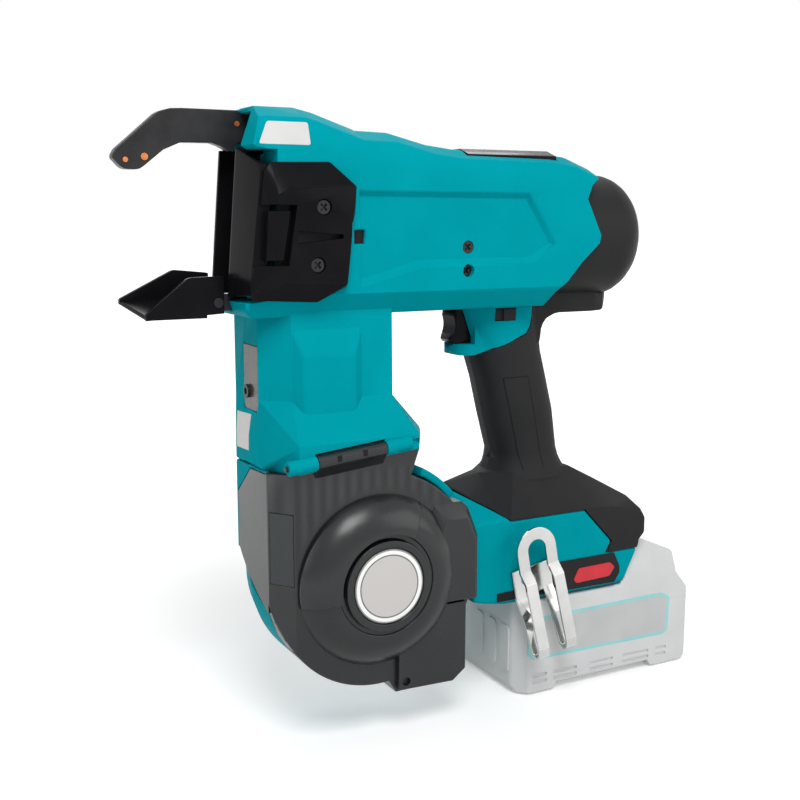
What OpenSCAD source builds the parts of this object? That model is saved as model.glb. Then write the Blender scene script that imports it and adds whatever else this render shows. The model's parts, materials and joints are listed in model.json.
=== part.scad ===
// Cordless rebar tying tool, millimetres.
// Nose along -X, reel cover on -Y, Z up, origin under the middle of the battery.

/* [Heights and widths] */
// Height of the twist axis above the standing face
axis_z = 262.5; // [250:0.5:275]
// Rise of the head's top above the twist axis
head_rise = 69.5; // [64:0.5:76]
// Rise of the body's flat top above the twist axis
body_rise = 50.5; // [47:0.5:54]
// Drop of the body's underside below the twist axis
body_drop = 34.5; // [32:0.5:36]
// Half width of the body
body_half_w = 38; // [37.5:0.1:42]
// Clearance between neighbouring shells
gap = 0.3; // [0.2:0.05:0.5]

/* [Head] */
// Front of the lip over the mouth
head_front_x = -221; // [-226:0.5:-217]
// Width of the mouth between the contact plates
mouth_w = 23; // [18:0.5:26]
// Drop of the mouth's lower edge below the twist axis
mouth_drop = 19.5; // [16:0.5:21]
// Height of the lip over the mouth
lip_h = 20; // [18:0.5:24]
// Back of the mouth
mouth_back_x = -170; // [-180:0.5:-165]
// Thickness of the hook plate
hook_t = 6.6; // [5:0.1:8]
// Thickness of each contact plate
plate_t = 2.4; // [1.5:0.1:3]
// Travel of the contact plates
plate_travel = 2; // [1:0.5:3]
// Height of a side cover above the body's side
side_cover_h = 6; // [4:0.1:7]
// Radius of the lower guide's pin
guide_pin_r = 2.5; // [2:0.1:3]

/* [Drive] */
// Radius of the motor cover
barrel_r = 36; // [33:0.1:37]
// Rise of the motor's axis above the twist axis
motor_rise = 4; // [0:0.5:5]
// Front end of the motor cover
barrel_front_x = -43; // [-46:0.5:-40]
// Rear end of the motor cover
barrel_end_x = 30; // [27:0.5:36]
// Radius of the motor cover's rounded end
barrel_round_r = 20; // [15:0.5:26]
// Wall of the motor cover
barrel_wall = 3; // [2:0.1:3.5]
// Gap between the motor and its cover
motor_gap = 6; // [3:0.5:10]
// Radius of the gearbox
gearbox_r = 28; // [24:0.5:30]
// Length of the gearbox
gearbox_len = 36; // [28:1:40]
// Radius of the twist spindle
spindle_r = 8; // [6:0.1:10]
// Outer radius of the spindle bearing
bearing_r = 15; // [13:0.1:18]
// Radial running clearance
run_fit = 0.05; // [0.02:0.01:0.1]

/* [Column] */
// Front face of the column
column_front_x = -213.5; // [-217:0.5:-210]
// Rear face of the column
column_rear_x = -143; // [-148:0.5:-138]
// Half width of the column
column_half_w = 31; // [28:0.5:35]
// Half width of the column's front face
column_face_half_w = 17; // [12:0.5:22]
// Half width over the raised side panels
panel_half_w = 37; // [35:0.5:40]
// Half width of the flare over the reel
flare_half_w = 50; // [46:0.5:53]
// Underside of the flare
flare_z = 154; // [153:0.5:157]
// Pitch radius of the feed gears
feed_gear_r = 7.5; // [6:0.1:8]
// Rise of the feed gears above the flare's underside
feed_rise = 14; // [12:0.5:18]
// Radius of the tying wire
wire_r = 0.8; // [0.4:0.1:1]

/* [Reel] */
// Radius of the reel's flanges
spool_r = 48.5; // [44:0.5:52]
// Gap between the flanges and the case
reel_gap = 6.7; // [4:0.1:8]
// Wall of the case and the cover
case_wall = 2.8; // [2:0.1:3.5]
// Depth of the case's right wall beyond the reel
case_depth = 18; // [14:0.5:22]
// Inset of the case's right wall from its rim
case_taper = 13; // [8:0.5:16]
// Width of the reel
spool_w = 46; // [40:0.5:46]
// Height of the flanges above the winding
flange_h = 5.5; // [3:0.5:15]
// Radius of the post that carries the reel
hub_r = 11; // [8:0.1:14]

/* [Reel cover] */
// Depth of the cover from its flat face to the case
cover_depth = 16; // [14:0.5:18]
// Radius of the cover's dome
dome_r = 46.5; // [42:0.5:52]
// Height of the dome above the flat face
dome_h = 13.5; // [10:0.5:14]
// Radius of the round plate on the dome
disc_r = 19.8; // [16:0.5:21]
// Rise of the hinge towards the rear, degrees
hinge_tilt = 6; // [0:0.5:8]
// Radius of the hinge pin
hinge_pin_r = 1.4; // [1.2:0.1:2]
// Radius of the hinge knuckles
knuckle_r = 3.7; // [3.2:0.1:4.4]

/* [Grip and trigger] */
// Half width of the grip
grip_half_w = 18.5; // [16:0.5:21]
// Half depth of the grip
grip_half_d = 23.5; // [20:0.5:26]
// Thickness of the grip's soft skin
skin_t = 3; // [2:0.1:4]
// Width of the trigger
trigger_w = 14; // [10:0.5:18]
// Travel of the trigger
trigger_travel = 6; // [3:0.5:7]

/* [Base and battery] */
// Half width of the base
base_half_w = 40; // [39.5:0.5:44]
// Underside of the base
base_bottom_z = 57.5; // [52:0.5:62]
// Rear end of the base
base_rear_x = 26; // [22:0.5:32]
// Length of the battery
battery_len = 130; // [120:1:140]
// Half width of the battery
battery_half_w = 38.5; // [36:0.5:39.5]
// Height of the feet under the battery
foot_h = 4.5; // [3:0.5:6]
// Half width of the rail under the base
rail_half_w = 27; // [22:0.5:30]
// Height of the rail
rail_h = 10; // [8:0.5:12]
// Thickness of the belt hook's strip
clip_t = 1.6; // [1.2:0.1:2]
// Width of a belt hook leg
clip_leg_w = 7; // [5:0.5:9]

/* [Hidden] */
$fn = 64;
head_top_z = axis_z + head_rise;
body_top_z = axis_z + body_rise;
body_bottom_z = axis_z - body_drop;
mouth_low_z = axis_z - mouth_drop;
mouth_high_z = head_top_z - lip_h;
motor_z = axis_z + motor_rise;
motor_r = barrel_r - barrel_wall - motor_gap;
barrel_top_z = motor_z + barrel_r;
spindle_front_x = mouth_back_x - 4;
gearbox_x = barrel_front_x - gearbox_len;
plate_y = mouth_w / 2;
hook_z = head_top_z - 1;
battery_top_z = base_bottom_z - gap;
battery_x0 = -battery_len / 2;
battery_x1 = battery_len / 2;
case_front = column_front_x - 2.5;
case_r = spool_r + reel_gap + case_wall;
reel_x = case_front + case_r - 0.5;
reel_z = flare_z - case_r - 7.5;
winding_r = spool_r - flange_h;
hinge_x = column_front_x + 36.5;
hinge_y = -flare_half_w;
hinge_z = flare_z + 4.5;
cover_face_y = hinge_y + 4;
parting_y = cover_face_y + cover_depth;
reel_y = cover_face_y + 8 + spool_w / 2;
feed_z = flare_z + feed_rise;
wire_x = column_front_x + 6;
feed_y = feed_gear_r + wire_r + 0.4;
wire_top_z = body_bottom_z - 9;
flange_r = case_r + 5.5;
lug_x = reel_x + case_r + 2.5;
cover_foot_z = reel_z - case_r - 6.5;
latch_at = [reel_x + 14.5, cover_foot_z + 6];
lock_x = -64;
lock_z = body_bottom_z - 4.9;
lock_w = 13;
lock_h = 6.8;
base_front_x = reel_x + case_r + 3.8;
panel_button_at = [-78, -58];
spool_y0 = reel_y - spool_w / 2;
spool_y1 = reel_y + spool_w / 2;
case_rim_y = spool_y1 + 0.5;
case_right_y = spool_y1 + case_depth;
case_mid_y = spool_y1 - 16;
case_draft = 3.5;
wall_edge_y = spool_y1 + 2;
base_split_z = 107.8;
release_tilt = 50.8;
battery_slots = [[-54, -44], [-39, -22], [-12, 5], [13, 33], [39, 47]];

// Height of the case's top, which runs along the hinge
function case_top_z(x) = hinge_z - 4.8 + (x - hinge_x) * tan(hinge_tilt);

// Rivets and the wire's pin in the hook: [x, z, radius]
hook_pin_at = [[-274, hook_z - 25.5, 1.3], [-264.6, hook_z - 23.9, 1.8], [-216.8, hook_z - 6.7, 1.3]];
// Pivot of the lower guide, and the face that its lug seats on
guide_x = -232.5;
guide_z = mouth_low_z - 7.5;
guide_seat_x = -216;
// Back edge of the flap's root in the side cover's notch
flap_back_x = -212.6;
// Side cover and body screws on one side: [x, z]
cover_screw_at = [[-187.2, 282.8], [-190.8, 254.5]];
body_screw_at = [[-99.4, 262], [-100.5, 249.5]];

function arc(x, z, r, a0, a1, n) =
    [for (i = [0:n]) let (a = a0 + (a1 - a0) * i / n) [x + r * cos(a), z + r * sin(a)]];

// Sections of the body across Y, from nose to tail: [x, top]
body_stations = [
    [head_front_x - 12, head_top_z - 2], [-214, head_top_z], [-192, head_top_z],
    [-185, head_top_z - 1.5], [-159, head_top_z - 10], [-140, head_top_z - 10.5],
    [-117, body_top_z + 3], [-100, body_top_z + 1], [-42, body_top_z],
    [-27, body_top_z - 1.5], [-8, barrel_top_z + 2]];

function body_ring(x, top) = let (
    w = body_half_w,
    half = [[19, top], [w - 6, top - 6], [w, top - 21.5], [w, body_bottom_z + 11.5],
            [w - 9, body_bottom_z]])
    concat([for (p = half) [x, p[0], p[1]]],
           [for (i = [len(half) - 1:-1:0]) [x, -half[i][0], half[i][1]]]);

// Sections of the base across Y: [x, top, flat half width, shoulder]
base_stations = [
    [-98, 117, 3, 108], [-91.5, 124.5, 2, 109], [-72, 128.5, 4, 109], [-56, 130.5, 17, 109],
    [-16, 130, 17, 109], [1, 121, 19, 107.5],
    [base_rear_x - 4, 109, 26, 103.5], [base_rear_x, 104, 25, 97.5]];

function base_ring(x, top, flat, side) = let (
    w = base_half_w,
    half = [[flat, top], [w, side], [w, base_bottom_z + 4], [w - 4, base_bottom_z]])
    concat([for (p = half) [x, p[0], p[1]]],
           [for (i = [len(half) - 1:-1:0]) [x, -half[i][0], half[i][1]]]);

// Sections of the grip up Z: [z, centre, extra half depth, extra half width]
grip_stations = [
    [104, -39, 4, 5], [126, -39, 4, 5], [129, -39, 2, 3.4], [132, -39, 0, 2],
    [136, -39.5, -1.5, 0.8], [141, -40, -2.5, 0],
    [165, -45, -1, 0.5], [185, -50, -1, 0], [200, -54.5, -0.5, 0], [214, -58, 1, 0.5],
    [232, -62, 3.5, 1.5]];

function grip_ring(s, inset) = [for (i = [0:23]) let (
    a = -i * 15, d = grip_half_d + s[2] - inset, w = grip_half_w + s[3] - inset, e = 0.8)
    [s[1] + d * sign(cos(a)) * pow(abs(cos(a)), e), w * sign(sin(a)) * pow(abs(sin(a)), e), s[0]]];

// Solid through a list of rings with the same number of points
module skin(rings) {
    n = len(rings[0]);
    last = (len(rings) - 1) * n;
    sides = [for (k = [0:len(rings) - 2], j = [0:n - 1]) let (
        a = k * n + j, b = k * n + (j + 1) % n)
        each [[a, b, b + n], [a, b + n, a + n]]];
    caps = [for (j = [1:n - 2]) each [[0, j + 1, j], [last, last + j, last + j + 1]]];
    polyhedron(points = [for (r = rings) each r], faces = concat(sides, caps), convexity = 6);
}

// Prism from an outline in X and Z
module side_prism(points, y0, y1) {
    translate([0, y1, 0])
        rotate([90, 0, 0])
            linear_extrude(y1 - y0)
                polygon(points);
}

// Prism from an outline in Y and Z
module end_prism(points, x0, x1) {
    translate([x0, 0, 0])
        rotate([90, 0, 90])
            linear_extrude(x1 - x0)
                polygon(points);
}

// Prism from an outline in X and Y
module plan_prism(points, z0, z1) {
    translate([0, 0, z0])
        linear_extrude(z1 - z0)
            polygon(points);
}

module block(x0, x1, y0, y1, z0, z1) {
    translate([x0, y0, z0])
        cube([x1 - x0, y1 - y0, z1 - z0]);
}

module rod_x(x0, x1, r, y = 0, z = axis_z) {
    translate([x0, y, z])
        rotate([0, 90, 0])
            cylinder(h = x1 - x0, r = r);
}

module rod_y(y0, y1, r, x, z) {
    translate([x, y0, z])
        rotate([-90, 0, 0])
            cylinder(h = y1 - y0, r = r);
}

module rod_z(z0, z1, r, x, y) {
    translate([x, y, z0])
        cylinder(h = z1 - z0, r = r);
}

module mirrored() {
    children();
    mirror([0, 1, 0])
        children();
}

// Hinge frame: X along the pin, origin at the middle of the hinge
module at_hinge() {
    translate([hinge_x, hinge_y, hinge_z])
        rotate([0, -hinge_tilt, 0])
            children();
}

// Line where the teal housing ends, from the trigger chin up to the tail
split_line = [
    [-110, 199.2], [-80, 200], [-64, 205.6], [-50, 211], [-46.5, 215], [-45, 221], [-44.5, 228],
    [-40.7, 236], [-26, 252], [-13.5, 263], [-12.5, 267.5], [-22.6, 287.8], [-17, 295.5], [-8, 300],
    [-8, 345]];

// Front of the head, from the top down to the column
front_line = [
    [head_front_x + 7, 345], [head_front_x + 7, head_top_z], [head_front_x, mouth_high_z + 0.5],
    [head_front_x + 3, mouth_high_z - 1.5], [-209, mouth_high_z - 1.5], [-210, 238], [-226, 236],
    [-224, 231], [column_front_x, 221],
    [column_front_x, 199.2]];

column_plan = [
    [column_front_x, column_face_half_w], [column_front_x, -column_face_half_w],
    [column_front_x + 13, -column_half_w], [column_rear_x, -column_half_w],
    [column_rear_x, column_half_w], [column_front_x + 13, column_half_w]];

flare_plan = [
    [case_front, wall_edge_y + 1.5], [case_front, -24], [case_front + 11, -flare_half_w],
    [-137, -flare_half_w], [-127, -33], [-127, 20], [column_rear_x, column_half_w],
    [column_front_x + 13, column_half_w]];

// Side outline of the base
base_outline = [
    [base_rear_x, 140], [base_front_x, 140], [base_front_x, base_bottom_z + 6], [-73, base_bottom_z],
    [9, base_bottom_z], [20.5, 80], [21, 84], [base_rear_x, 89]];

// Part of the base that the black top skin covers
base_top = [
    [-114.7, 142], [-114.7, 135.7], [-71.7, base_split_z], [-20.2, base_split_z], [0.2, 86.4],
    [-3.8, 79.5], [40, 79.5], [40, 142]];

module body_skin() {
    skin([for (s = body_stations) body_ring(s[0], s[1])]);
}

module grip_skin(inset) {
    skin([for (s = grip_stations) grip_ring(s, inset)]);
}

module base_skin() {
    intersection() {
        skin([for (s = base_stations) base_ring(s[0], s[1], s[2], s[3])]);
        side_prism(base_outline, -60, 60);
    }
}

module trigger_chin() {
    intersection() {
        side_prism([[-91.5, 203], [-88, 199.4], [-58, 199.4], [-58, 232], [-80, 232], [-80, 206.2],
                    [-90, 206.2]], -17, 17);
        plan_prism(concat(arc(-79.5, 0, 12, 90, 270, 10), [[-64, -17], [-50, -17], [-50, 17], [-64, 17]]),
                   190, 235);
    }
}

module column() {
    plan_prism(column_plan, flare_z + 6, body_bottom_z + 4);
    mirrored()
        intersection() {
            end_prism([[-20, body_bottom_z - 4], [-column_half_w, body_bottom_z - 6.5],
                       [-panel_half_w, body_bottom_z - 19.5], [-panel_half_w, flare_z + 12],
                       [-20, flare_z + 12]], -210, -158);
            plan_prism([[-208, -19], [-196, -panel_half_w], [-167.5, -panel_half_w],
                        [-161, -column_half_w + 0.2], [-161, -19]], 160, 230);
        }
    difference() {
        hull() {
            plan_prism(column_plan, flare_z + 30, flare_z + 31);
            plan_prism(flare_plan, flare_z - 6, flare_z + 11.5);
        }
        at_hinge()
            block(-60, 60, -20, 120, -40, -4.5);
    }
}

// Both housing halves in one piece, before they are parted at Y = 0
module housing_solid() {
    intersection() {
        union() {
            body_skin();
            grip_skin(0);
            trigger_chin();
        }
        side_prism(concat(front_line, split_line), -60, 60);
    }
    column();
    grip_skin(skin_t + 0.05);
    difference() {
        base_skin();
        side_prism(base_top, -60, 60);
    }
}

// Recessed panel along each side of the body
module side_recess() {
    y = -body_half_w;
    hull() {
        side_prism([[-165, 291.5], [-62, 291], [-42.3, 263.4], [-59, 252.1], [-165, 251.6]], y - 1, y);
        side_prism([[-165, 288.5], [-62.6, 287.6], [-46.6, 263.4], [-60.6, 256.1], [-165, 255.6]],
                   y, y + 2.6);
    }
    hull() {
        side_prism([[-165, 262], [-128, 252], [-160, 243.5], [-165, 242.5]], y - 1, y);
        side_prism([[-165, 262], [-130, 256], [-160, 247.5], [-165, 246.5]], y, y + 2.6);
    }
}

// Everything that lies inside the housing
module housing_bays() {
    block(-240, mouth_back_x, -mouth_w / 2, mouth_w / 2, mouth_low_z, mouth_high_z);
    block(-240, -200, -plate_y - plate_t - gap, plate_y + plate_t + gap, mouth_low_z - 6, mouth_high_z);
    block(-240, guide_seat_x + 0.02, -plate_y + 0.58, plate_y - 0.58, guide_z - 4.52, mouth_low_z + 2);
    block(head_front_x - 10, -200, -19, 19, mouth_high_z - 3, hook_z - 1.5);
    block(-201, -186, -hook_t / 2 - 0.02, hook_t / 2 + 0.02, mouth_high_z + 2, hook_z - 1.5);
    rod_x(mouth_back_x - 1, gearbox_x, bearing_r + 0.02);
    rod_x(gearbox_x - 0.02, barrel_front_x + 1, gearbox_r + 0.02);
    rod_x(barrel_front_x - 0.02, 60, barrel_r + 0.1, 0, motor_z);
    plan_prism([[column_front_x + 3, 15.5], [column_front_x + 3, -15.5],
                [column_front_x + 14.5, -column_half_w + 3], [column_rear_x - 5, -column_half_w + 3],
                [column_rear_x - 5, column_half_w - 3], [column_front_x + 14.5, column_half_w - 3]],
               flare_z - 8, body_bottom_z - 7);
    block(-69, -46, -9.2, 9.2, 201.5, 218);
    block(-92, -73.4, -trigger_w / 2 - gap, trigger_w / 2 + gap, 206.4, body_bottom_z + 1);
    block(-80, -66.4, -trigger_w / 2 - gap, trigger_w / 2 + gap, 206.4, 217.6);
    block(lock_x - lock_w / 2 - gap, lock_x + lock_w / 2 + gap, -60, 60, lock_z - lock_h / 2 - gap,
          lock_z + lock_h / 2 + gap);
    rod_z(100, 205, 9, -46, 0);
    block(-80, 6, -base_half_w + 7, base_half_w - 7, 72, 104);
    block(-66, 40, -22.4, 22.4, 50, 62);
    block(-66, 40, -rail_half_w - 0.4, rail_half_w + 0.4, 61.7, base_bottom_z + rail_h + 0.4);
    panel_prism(-93.8, -35.2, 0.3, 20);
}

// Window in the front of the column, with a ledge that carries the clear plate
module window_cut() {
    block(column_front_x - 1, -205, -14.5, 1.5, 180.5, 210.5);
    block(column_front_x - 1, column_front_x + 2, -16.7, 3.7, 178.3, 212.7);
}

module left_housing() {
    color([0, 0.52, 0.56])
        difference() {
            union() {
                intersection() {
                    housing_solid();
                    block(-300, 100, -80, -gap / 4, -10, 400);
                }
                at_hinge() {
                    rod_x(-34.7, -19.1, knuckle_r, 0, 0);
                    rod_x(20.1, 34.7, knuckle_r, 0, 0);
                }
            }
            housing_bays();
            window_cut();
            side_recess();
            block(-168, -161, -60, -30, 264.5, 271.5);
            at_hinge() {
                rod_x(-40, 40, hinge_pin_r, 0, 0);
                rod_x(-19.1, 20.1, knuckle_r + 0.9, 0, 0);
                block(-19.1, 20.1, -10, knuckle_r + 0.9, -14, 0);
            }
            screw_holes();
        }
}

// Slope that takes the right side of the head back from the mouth
module right_front_cut() {
    plan_prism([[-240, 15], [-219, 15], [-202.6, 46], [-202.6, 70], [-240, 70]], 224, 350);
}

module right_housing() {
    color([0, 0.52, 0.56])
        difference() {
            intersection() {
                housing_solid();
                block(-300, 100, gap / 4, 80, -10, 400);
            }
            housing_bays();
            window_cut();
            right_front_cut();
            mirror([0, 1, 0]) {
                side_recess();
                screw_holes();
            }
        }
}

module screw_holes() {
    for (p = cover_screw_at)
        rod_y(-60, -body_half_w + 18, 1.8, p[0], p[1]);
    for (p = body_screw_at)
        rod_y(-60, -body_half_w + 6, 3.5, p[0], p[1]);
}

module screw(x, z, head_y, head_r, shank_r, length) {
    difference() {
        union() {
            rod_y(head_y, head_y + 3, head_r, x, z);
            rod_y(head_y + 2.9, head_y + length, shank_r, x, z);
        }
        for (turn = [45, 135])
            translate([x, head_y, z])
                rotate([0, turn, 0])
                    cube([head_r * 1.2, 2.8, 1], center = true);
    }
}

module side_cover_screws() {
    color([0.12, 0.12, 0.13])
        mirrored()
            for (p = cover_screw_at)
                screw(p[0], p[1], -body_half_w - side_cover_h + 1, 3.6, 1.78, 18);
}

module body_screws() {
    color([0.12, 0.12, 0.13])
        mirrored()
            for (p = body_screw_at)
                screw(p[0], p[1], -body_half_w + 3, 3.3, 2, 3);
}

module motor_cover() {
    inner = barrel_r - barrel_wall;
    round_in = barrel_round_r - barrel_wall;
    rise = barrel_end_x - barrel_round_r - 3;
    color([0.16, 0.16, 0.17])
        translate([0, 0, motor_z])
            rotate([0, 90, 0])
                rotate_extrude()
                    polygon(concat(
                        [[inner, barrel_front_x], [barrel_r, barrel_front_x]],
                        arc(barrel_r - barrel_round_r, rise, barrel_round_r, 0, 90, 8),
                        [[9, barrel_end_x - 0.7], [0, barrel_end_x], [0, barrel_end_x - 3 - barrel_wall]],
                        arc(inner - round_in, rise, round_in, 90, 0, 8)));
}

module grip_half() {
    difference() {
        union() {
            intersection() {
                grip_skin(0);
                block(-110, 0, -60, 60, base_split_z + gap, 240);
            }
            intersection() {
                base_skin();
                translate([gap, 0, gap])
                    side_prism(base_top, -60, 60);
            }
            intersection() {
                side_prism(concat([[-60, 230], [-52.7, 205], [-38, 205]],
                                  arc(-24, 210, 12.3, 180, 90, 6),
                                  [[8, 222.2], [13, 225], [19, 236], [-40, 240]]), -15, 15);
                plan_prism([[-70, -15], [2, -15], [10, -12], [16, -6], [17.5, 0], [16, 6], [10, 12], [2, 15],
                            [-70, 15]], 190, 250);
            }
        }
        translate([gap, 0, -gap])
            side_prism(concat(front_line, split_line), -60, 60);
        grip_skin(skin_t);
        translate([0, 0, motor_z])
            rotate([0, 90, 0])
                rotate_extrude()
                    polygon(concat(
                        [[0, barrel_front_x - 5], [barrel_r + 0.1, barrel_front_x - 5]],
                        arc(barrel_r - barrel_round_r, barrel_end_x - barrel_round_r - 3,
                            barrel_round_r + 0.1, 0, 90, 8),
                        [[9, barrel_end_x - 0.6], [0, barrel_end_x + 0.1]]));
        block(-69, -46, -9.2, 9.2, 201.5, 218);
    }
}

module left_grip() {
    color([0.15, 0.15, 0.16])
        intersection() {
            grip_half();
            block(-300, 100, -80, -gap / 4, 0, 400);
        }
}

module right_grip() {
    color([0.15, 0.15, 0.16])
        intersection() {
            grip_half();
            block(-300, 100, gap / 4, 80, 0, 400);
        }
}

// Dark band low on each side of the base
module base_band(side) {
    color([0.15, 0.15, 0.16])
        mirror([0, side > 0 ? 1 : 0, 0])
            side_prism([[base_front_x + 15.7, 61.5], [base_front_x + 15.7, 66.5],
                        [base_front_x + 27.2, 67], [-37, 79.2], [2, 79.2], [6.5, 70],
                        [6.5, 66], [2.8, 60.5]], -base_half_w - 0.6, -base_half_w);
}

module left_base_band() {
    base_band(-1);
}

module right_base_band() {
    base_band(1);
}

module side_cover_face(y) {
    hull() {
        side_prism([[-216.4, 300], [-213, 304.3], [-181.7, 304.9], [-167, 293.3], [-168.3, 276.8],
                    [-173, 243.2], [-189.5, 235.8], [-223.5, 237.8], [-224.5, 240.5]], y - 0.6, y);
        side_prism([[-211, 288.5], [-203, 292.8], [-169.9, 293.2], [-175, 244.8], [-207.7, 246.3],
                    [-215, 251.5]], y - side_cover_h, y - side_cover_h + 0.6);
    }
}

module side_cover(notch) {
    y = -body_half_w;
    difference() {
        side_cover_face(y);
        if (notch) {
            side_prism([[-232, 254.7], [-206.2, 254.5], [-201.6, 283.9], [-232, 283.9]], y - 20, y - 0.6);
            block(-232, flap_back_x + plate_travel + gap, y - 20, y + 40, 254.5, 283.9);
        }
        side_prism([[-201.5, 265], [-177, 267.5], [-177, 269.5], [-201.5, 271.5]], y - 20, y - 2);
        side_prism([[-172.3, 261.2], [-170.8, 257.7], [-160, 255], [-160, 281.5], [-168.6, 279.3],
                    [-172.2, 275.3]], y - 20, y + 1);
        for (p = cover_screw_at) {
            rod_y(y - 20, y - side_cover_h + 4, 4, p[0], p[1]);
            rod_y(y - 20, y + 1, 1.9, p[0], p[1]);
        }
    }
}

module left_side_cover() {
    color([0.17, 0.17, 0.18])
        side_cover(true);
}

module right_side_cover() {
    color([0.17, 0.17, 0.18])
        difference() {
            mirror([0, 1, 0])
                side_cover(false);
            right_front_cut();
        }
}

module upper_hook() {
    color([0.3, 0.3, 0.32])
        difference() {
            side_prism([[-280.2, hook_z - 24.8], [-280.1, hook_z - 23.2], [-278.6, hook_z - 20.5],
                        [-257.2, hook_z - 2], [-250.9, hook_z - 0.3], [-245, hook_z],
                        [head_front_x + 5.5, hook_z], [head_front_x + 5.5, hook_z - 2], [-188, hook_z - 2],
                        [-188, mouth_high_z + 3], [-216.5, mouth_high_z + 3], [-219.6, hook_z - 21],
                        [-226.2, hook_z - 17.7], [-230.3, hook_z - 16.4], [-246.2, hook_z - 16.6],
                        [-255, hook_z - 20.4], [-264.4, hook_z - 28], [-267.3, hook_z - 30],
                        [-275.2, hook_z - 30.1]], -hook_t / 2, hook_t / 2);
            for (p = hook_pin_at)
                rod_y(-10, 10, p[2], p[0], p[1]);
        }
}

module hook_pins() {
    color([0.75, 0.42, 0.15])
        for (p = hook_pin_at)
            rod_y(-hook_t / 2 - 0.5, hook_t / 2 + 0.5, p[2], p[0], p[1]);
}

module lower_guide() {
    wall = plate_y - 0.1;
    z = guide_z;
    color([0.14, 0.14, 0.15])
        difference() {
            union() {
                side_prism([[-229.5, z - 5.5], [-269.5, z - 7.7], [-270, z - 5.5], [-268.7, z - 3.7],
                            [-247.7, z + 12.9], [-229.5, z + 13.4]], -wall - 2.8, -wall);
                side_prism([[-229.5, z - 4.5], [-275, z - 0.9], [-276, z + 0.5], [-275.5, z + 2],
                            [-247.7, z + 15.8], [-229, z + 13.9]], wall, wall + 2.8);
                intersection() {
                    end_prism([[-wall - 2.8, z - 7.6], [wall + 2.8, z - 0.8], [wall + 2.8, z + 1.5],
                               [-wall - 2.8, z - 5.3]], -277, -238.5);
                    plan_prism([[-276, wall + 2.8], [-269.5, -wall - 2.8], [-238.5, -wall - 2.8],
                                [-238.5, wall + 2.8]], z - 16, z + 10);
                }
            }
            rod_y(-20, 20, guide_pin_r + run_fit, guide_x, guide_z);
        }
}

module guide_lug() {
    color([0.2, 0.2, 0.21])
        difference() {
            side_prism(concat([[guide_seat_x, guide_z + 2.4], [guide_seat_x, guide_z - 4.5]],
                              arc(guide_x, guide_z, 4.4, 270, 110, 8)), -plate_y + 0.6, plate_y - 0.6);
            rod_y(-20, 20, guide_pin_r, guide_x, guide_z);
        }
}

module guide_pin() {
    color([0.7, 0.7, 0.72])
        rod_y(-plate_y - 3.1, plate_y + 3.1, guide_pin_r, guide_x, guide_z);
}

// Cheek of the mouth on one side
module mouth_cheek() {
    y = -plate_y - plate_t;
    top = mouth_high_z - gap;
    side_prism([[-221, top], [-206, top], [-206, 246], [-214, 238.4], [-227, 238.4]], y, y + plate_t);
}

module left_contact_plate() {
    y = -plate_y - plate_t;
    side = -body_half_w + 0.4;
    top = mouth_high_z - gap;
    color([0.2, 0.2, 0.21]) {
        mouth_cheek();
        hull() {
            side_prism([[-221, top], [-217.5, top], [-223.5, 238.4], [-227, 238.4]], y, y + 0.4);
            side_prism([[-217.6, top - 8.7], [-214.4, top - 8.7], [-213.4, 284], [-215, 256], [-220.5, 240],
                        [-224.5, 240], [-218, 256], [-216.4, 284]], side, side + 0.4);
        }
        side_prism([[-217.4, 257], [-213.8, 257], [flap_back_x, 281], [-216, 281]], side - 4.9, side + 0.4);
        side_prism([[-217.4, 257], [-208.6, 257], [-204.4, 281], [-216, 281]], side - 4.9, side - 1.4);
    }
}

module right_contact_plate() {
    color([0.2, 0.2, 0.21])
        mirror([0, 1, 0])
            mouth_cheek();
}

module gearbox() {
    color([0.55, 0.56, 0.58])
        difference() {
            union() {
                rod_x(gearbox_x, barrel_front_x, gearbox_r);
                rod_x(gearbox_x - 12, gearbox_x + 1, bearing_r - 1);
            }
            rod_x(gearbox_x - 20, gearbox_x + 6, spindle_r + 0.4);
        }
}

module twist_motor() {
    color([0.3, 0.31, 0.33]) {
        rod_x(barrel_front_x, 8, motor_r, 0, motor_z);
        rod_x(barrel_front_x, barrel_front_x + 5, barrel_r - barrel_wall - 0.02, 0, motor_z);
        rod_x(7, 18, 9, 0, motor_z);
    }
}

module spindle_bearing() {
    color([0.6, 0.6, 0.62])
        difference() {
            rod_x(-160, -148, bearing_r);
            rod_x(-170, -140, spindle_r + run_fit);
        }
}

module twist_spindle() {
    color([0.62, 0.62, 0.64]) {
        rod_x(spindle_front_x, gearbox_x + 5, spindle_r);
        rod_x(-147, -141, spindle_r + 4);
    }
}

module twist_jaws() {
    color([0.5, 0.5, 0.52])
        difference() {
            union() {
                rod_x(spindle_front_x - 10, mouth_back_x + 2, 10.5);
                for (s = [-1, 1])
                    side_prism([[-183, axis_z - 6], [-196, axis_z - 6], [-206, axis_z - 2],
                                [-208, axis_z + 3], [-203, axis_z + 6], [-183, axis_z + 6]],
                               s * 5 - 2.5, s * 5 + 2.5);
            }
            rod_x(spindle_front_x, mouth_back_x + 5, spindle_r);
        }
}

// Feed wheels on each side of the wire, turning about X
module feed_wheel(y) {
    difference() {
        union() {
            rod_x(wire_x - 2.2, wire_x + 7.5, feed_gear_r, y, feed_z);
            rod_x(wire_x + 3, wire_x + 7.5, feed_y - 0.2, y, feed_z);
        }
        rod_x(wire_x - 10, wire_x + 10, 3 + run_fit, y, feed_z);
    }
}

module drive_wheel() {
    color([0.58, 0.58, 0.6]) {
        feed_wheel(feed_y);
        rod_x(wire_x - 2.2, wire_x + 16, 3.5, feed_y, feed_z);
    }
}

module idler_wheel() {
    color([0.58, 0.58, 0.6])
        feed_wheel(-feed_y);
}

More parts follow.
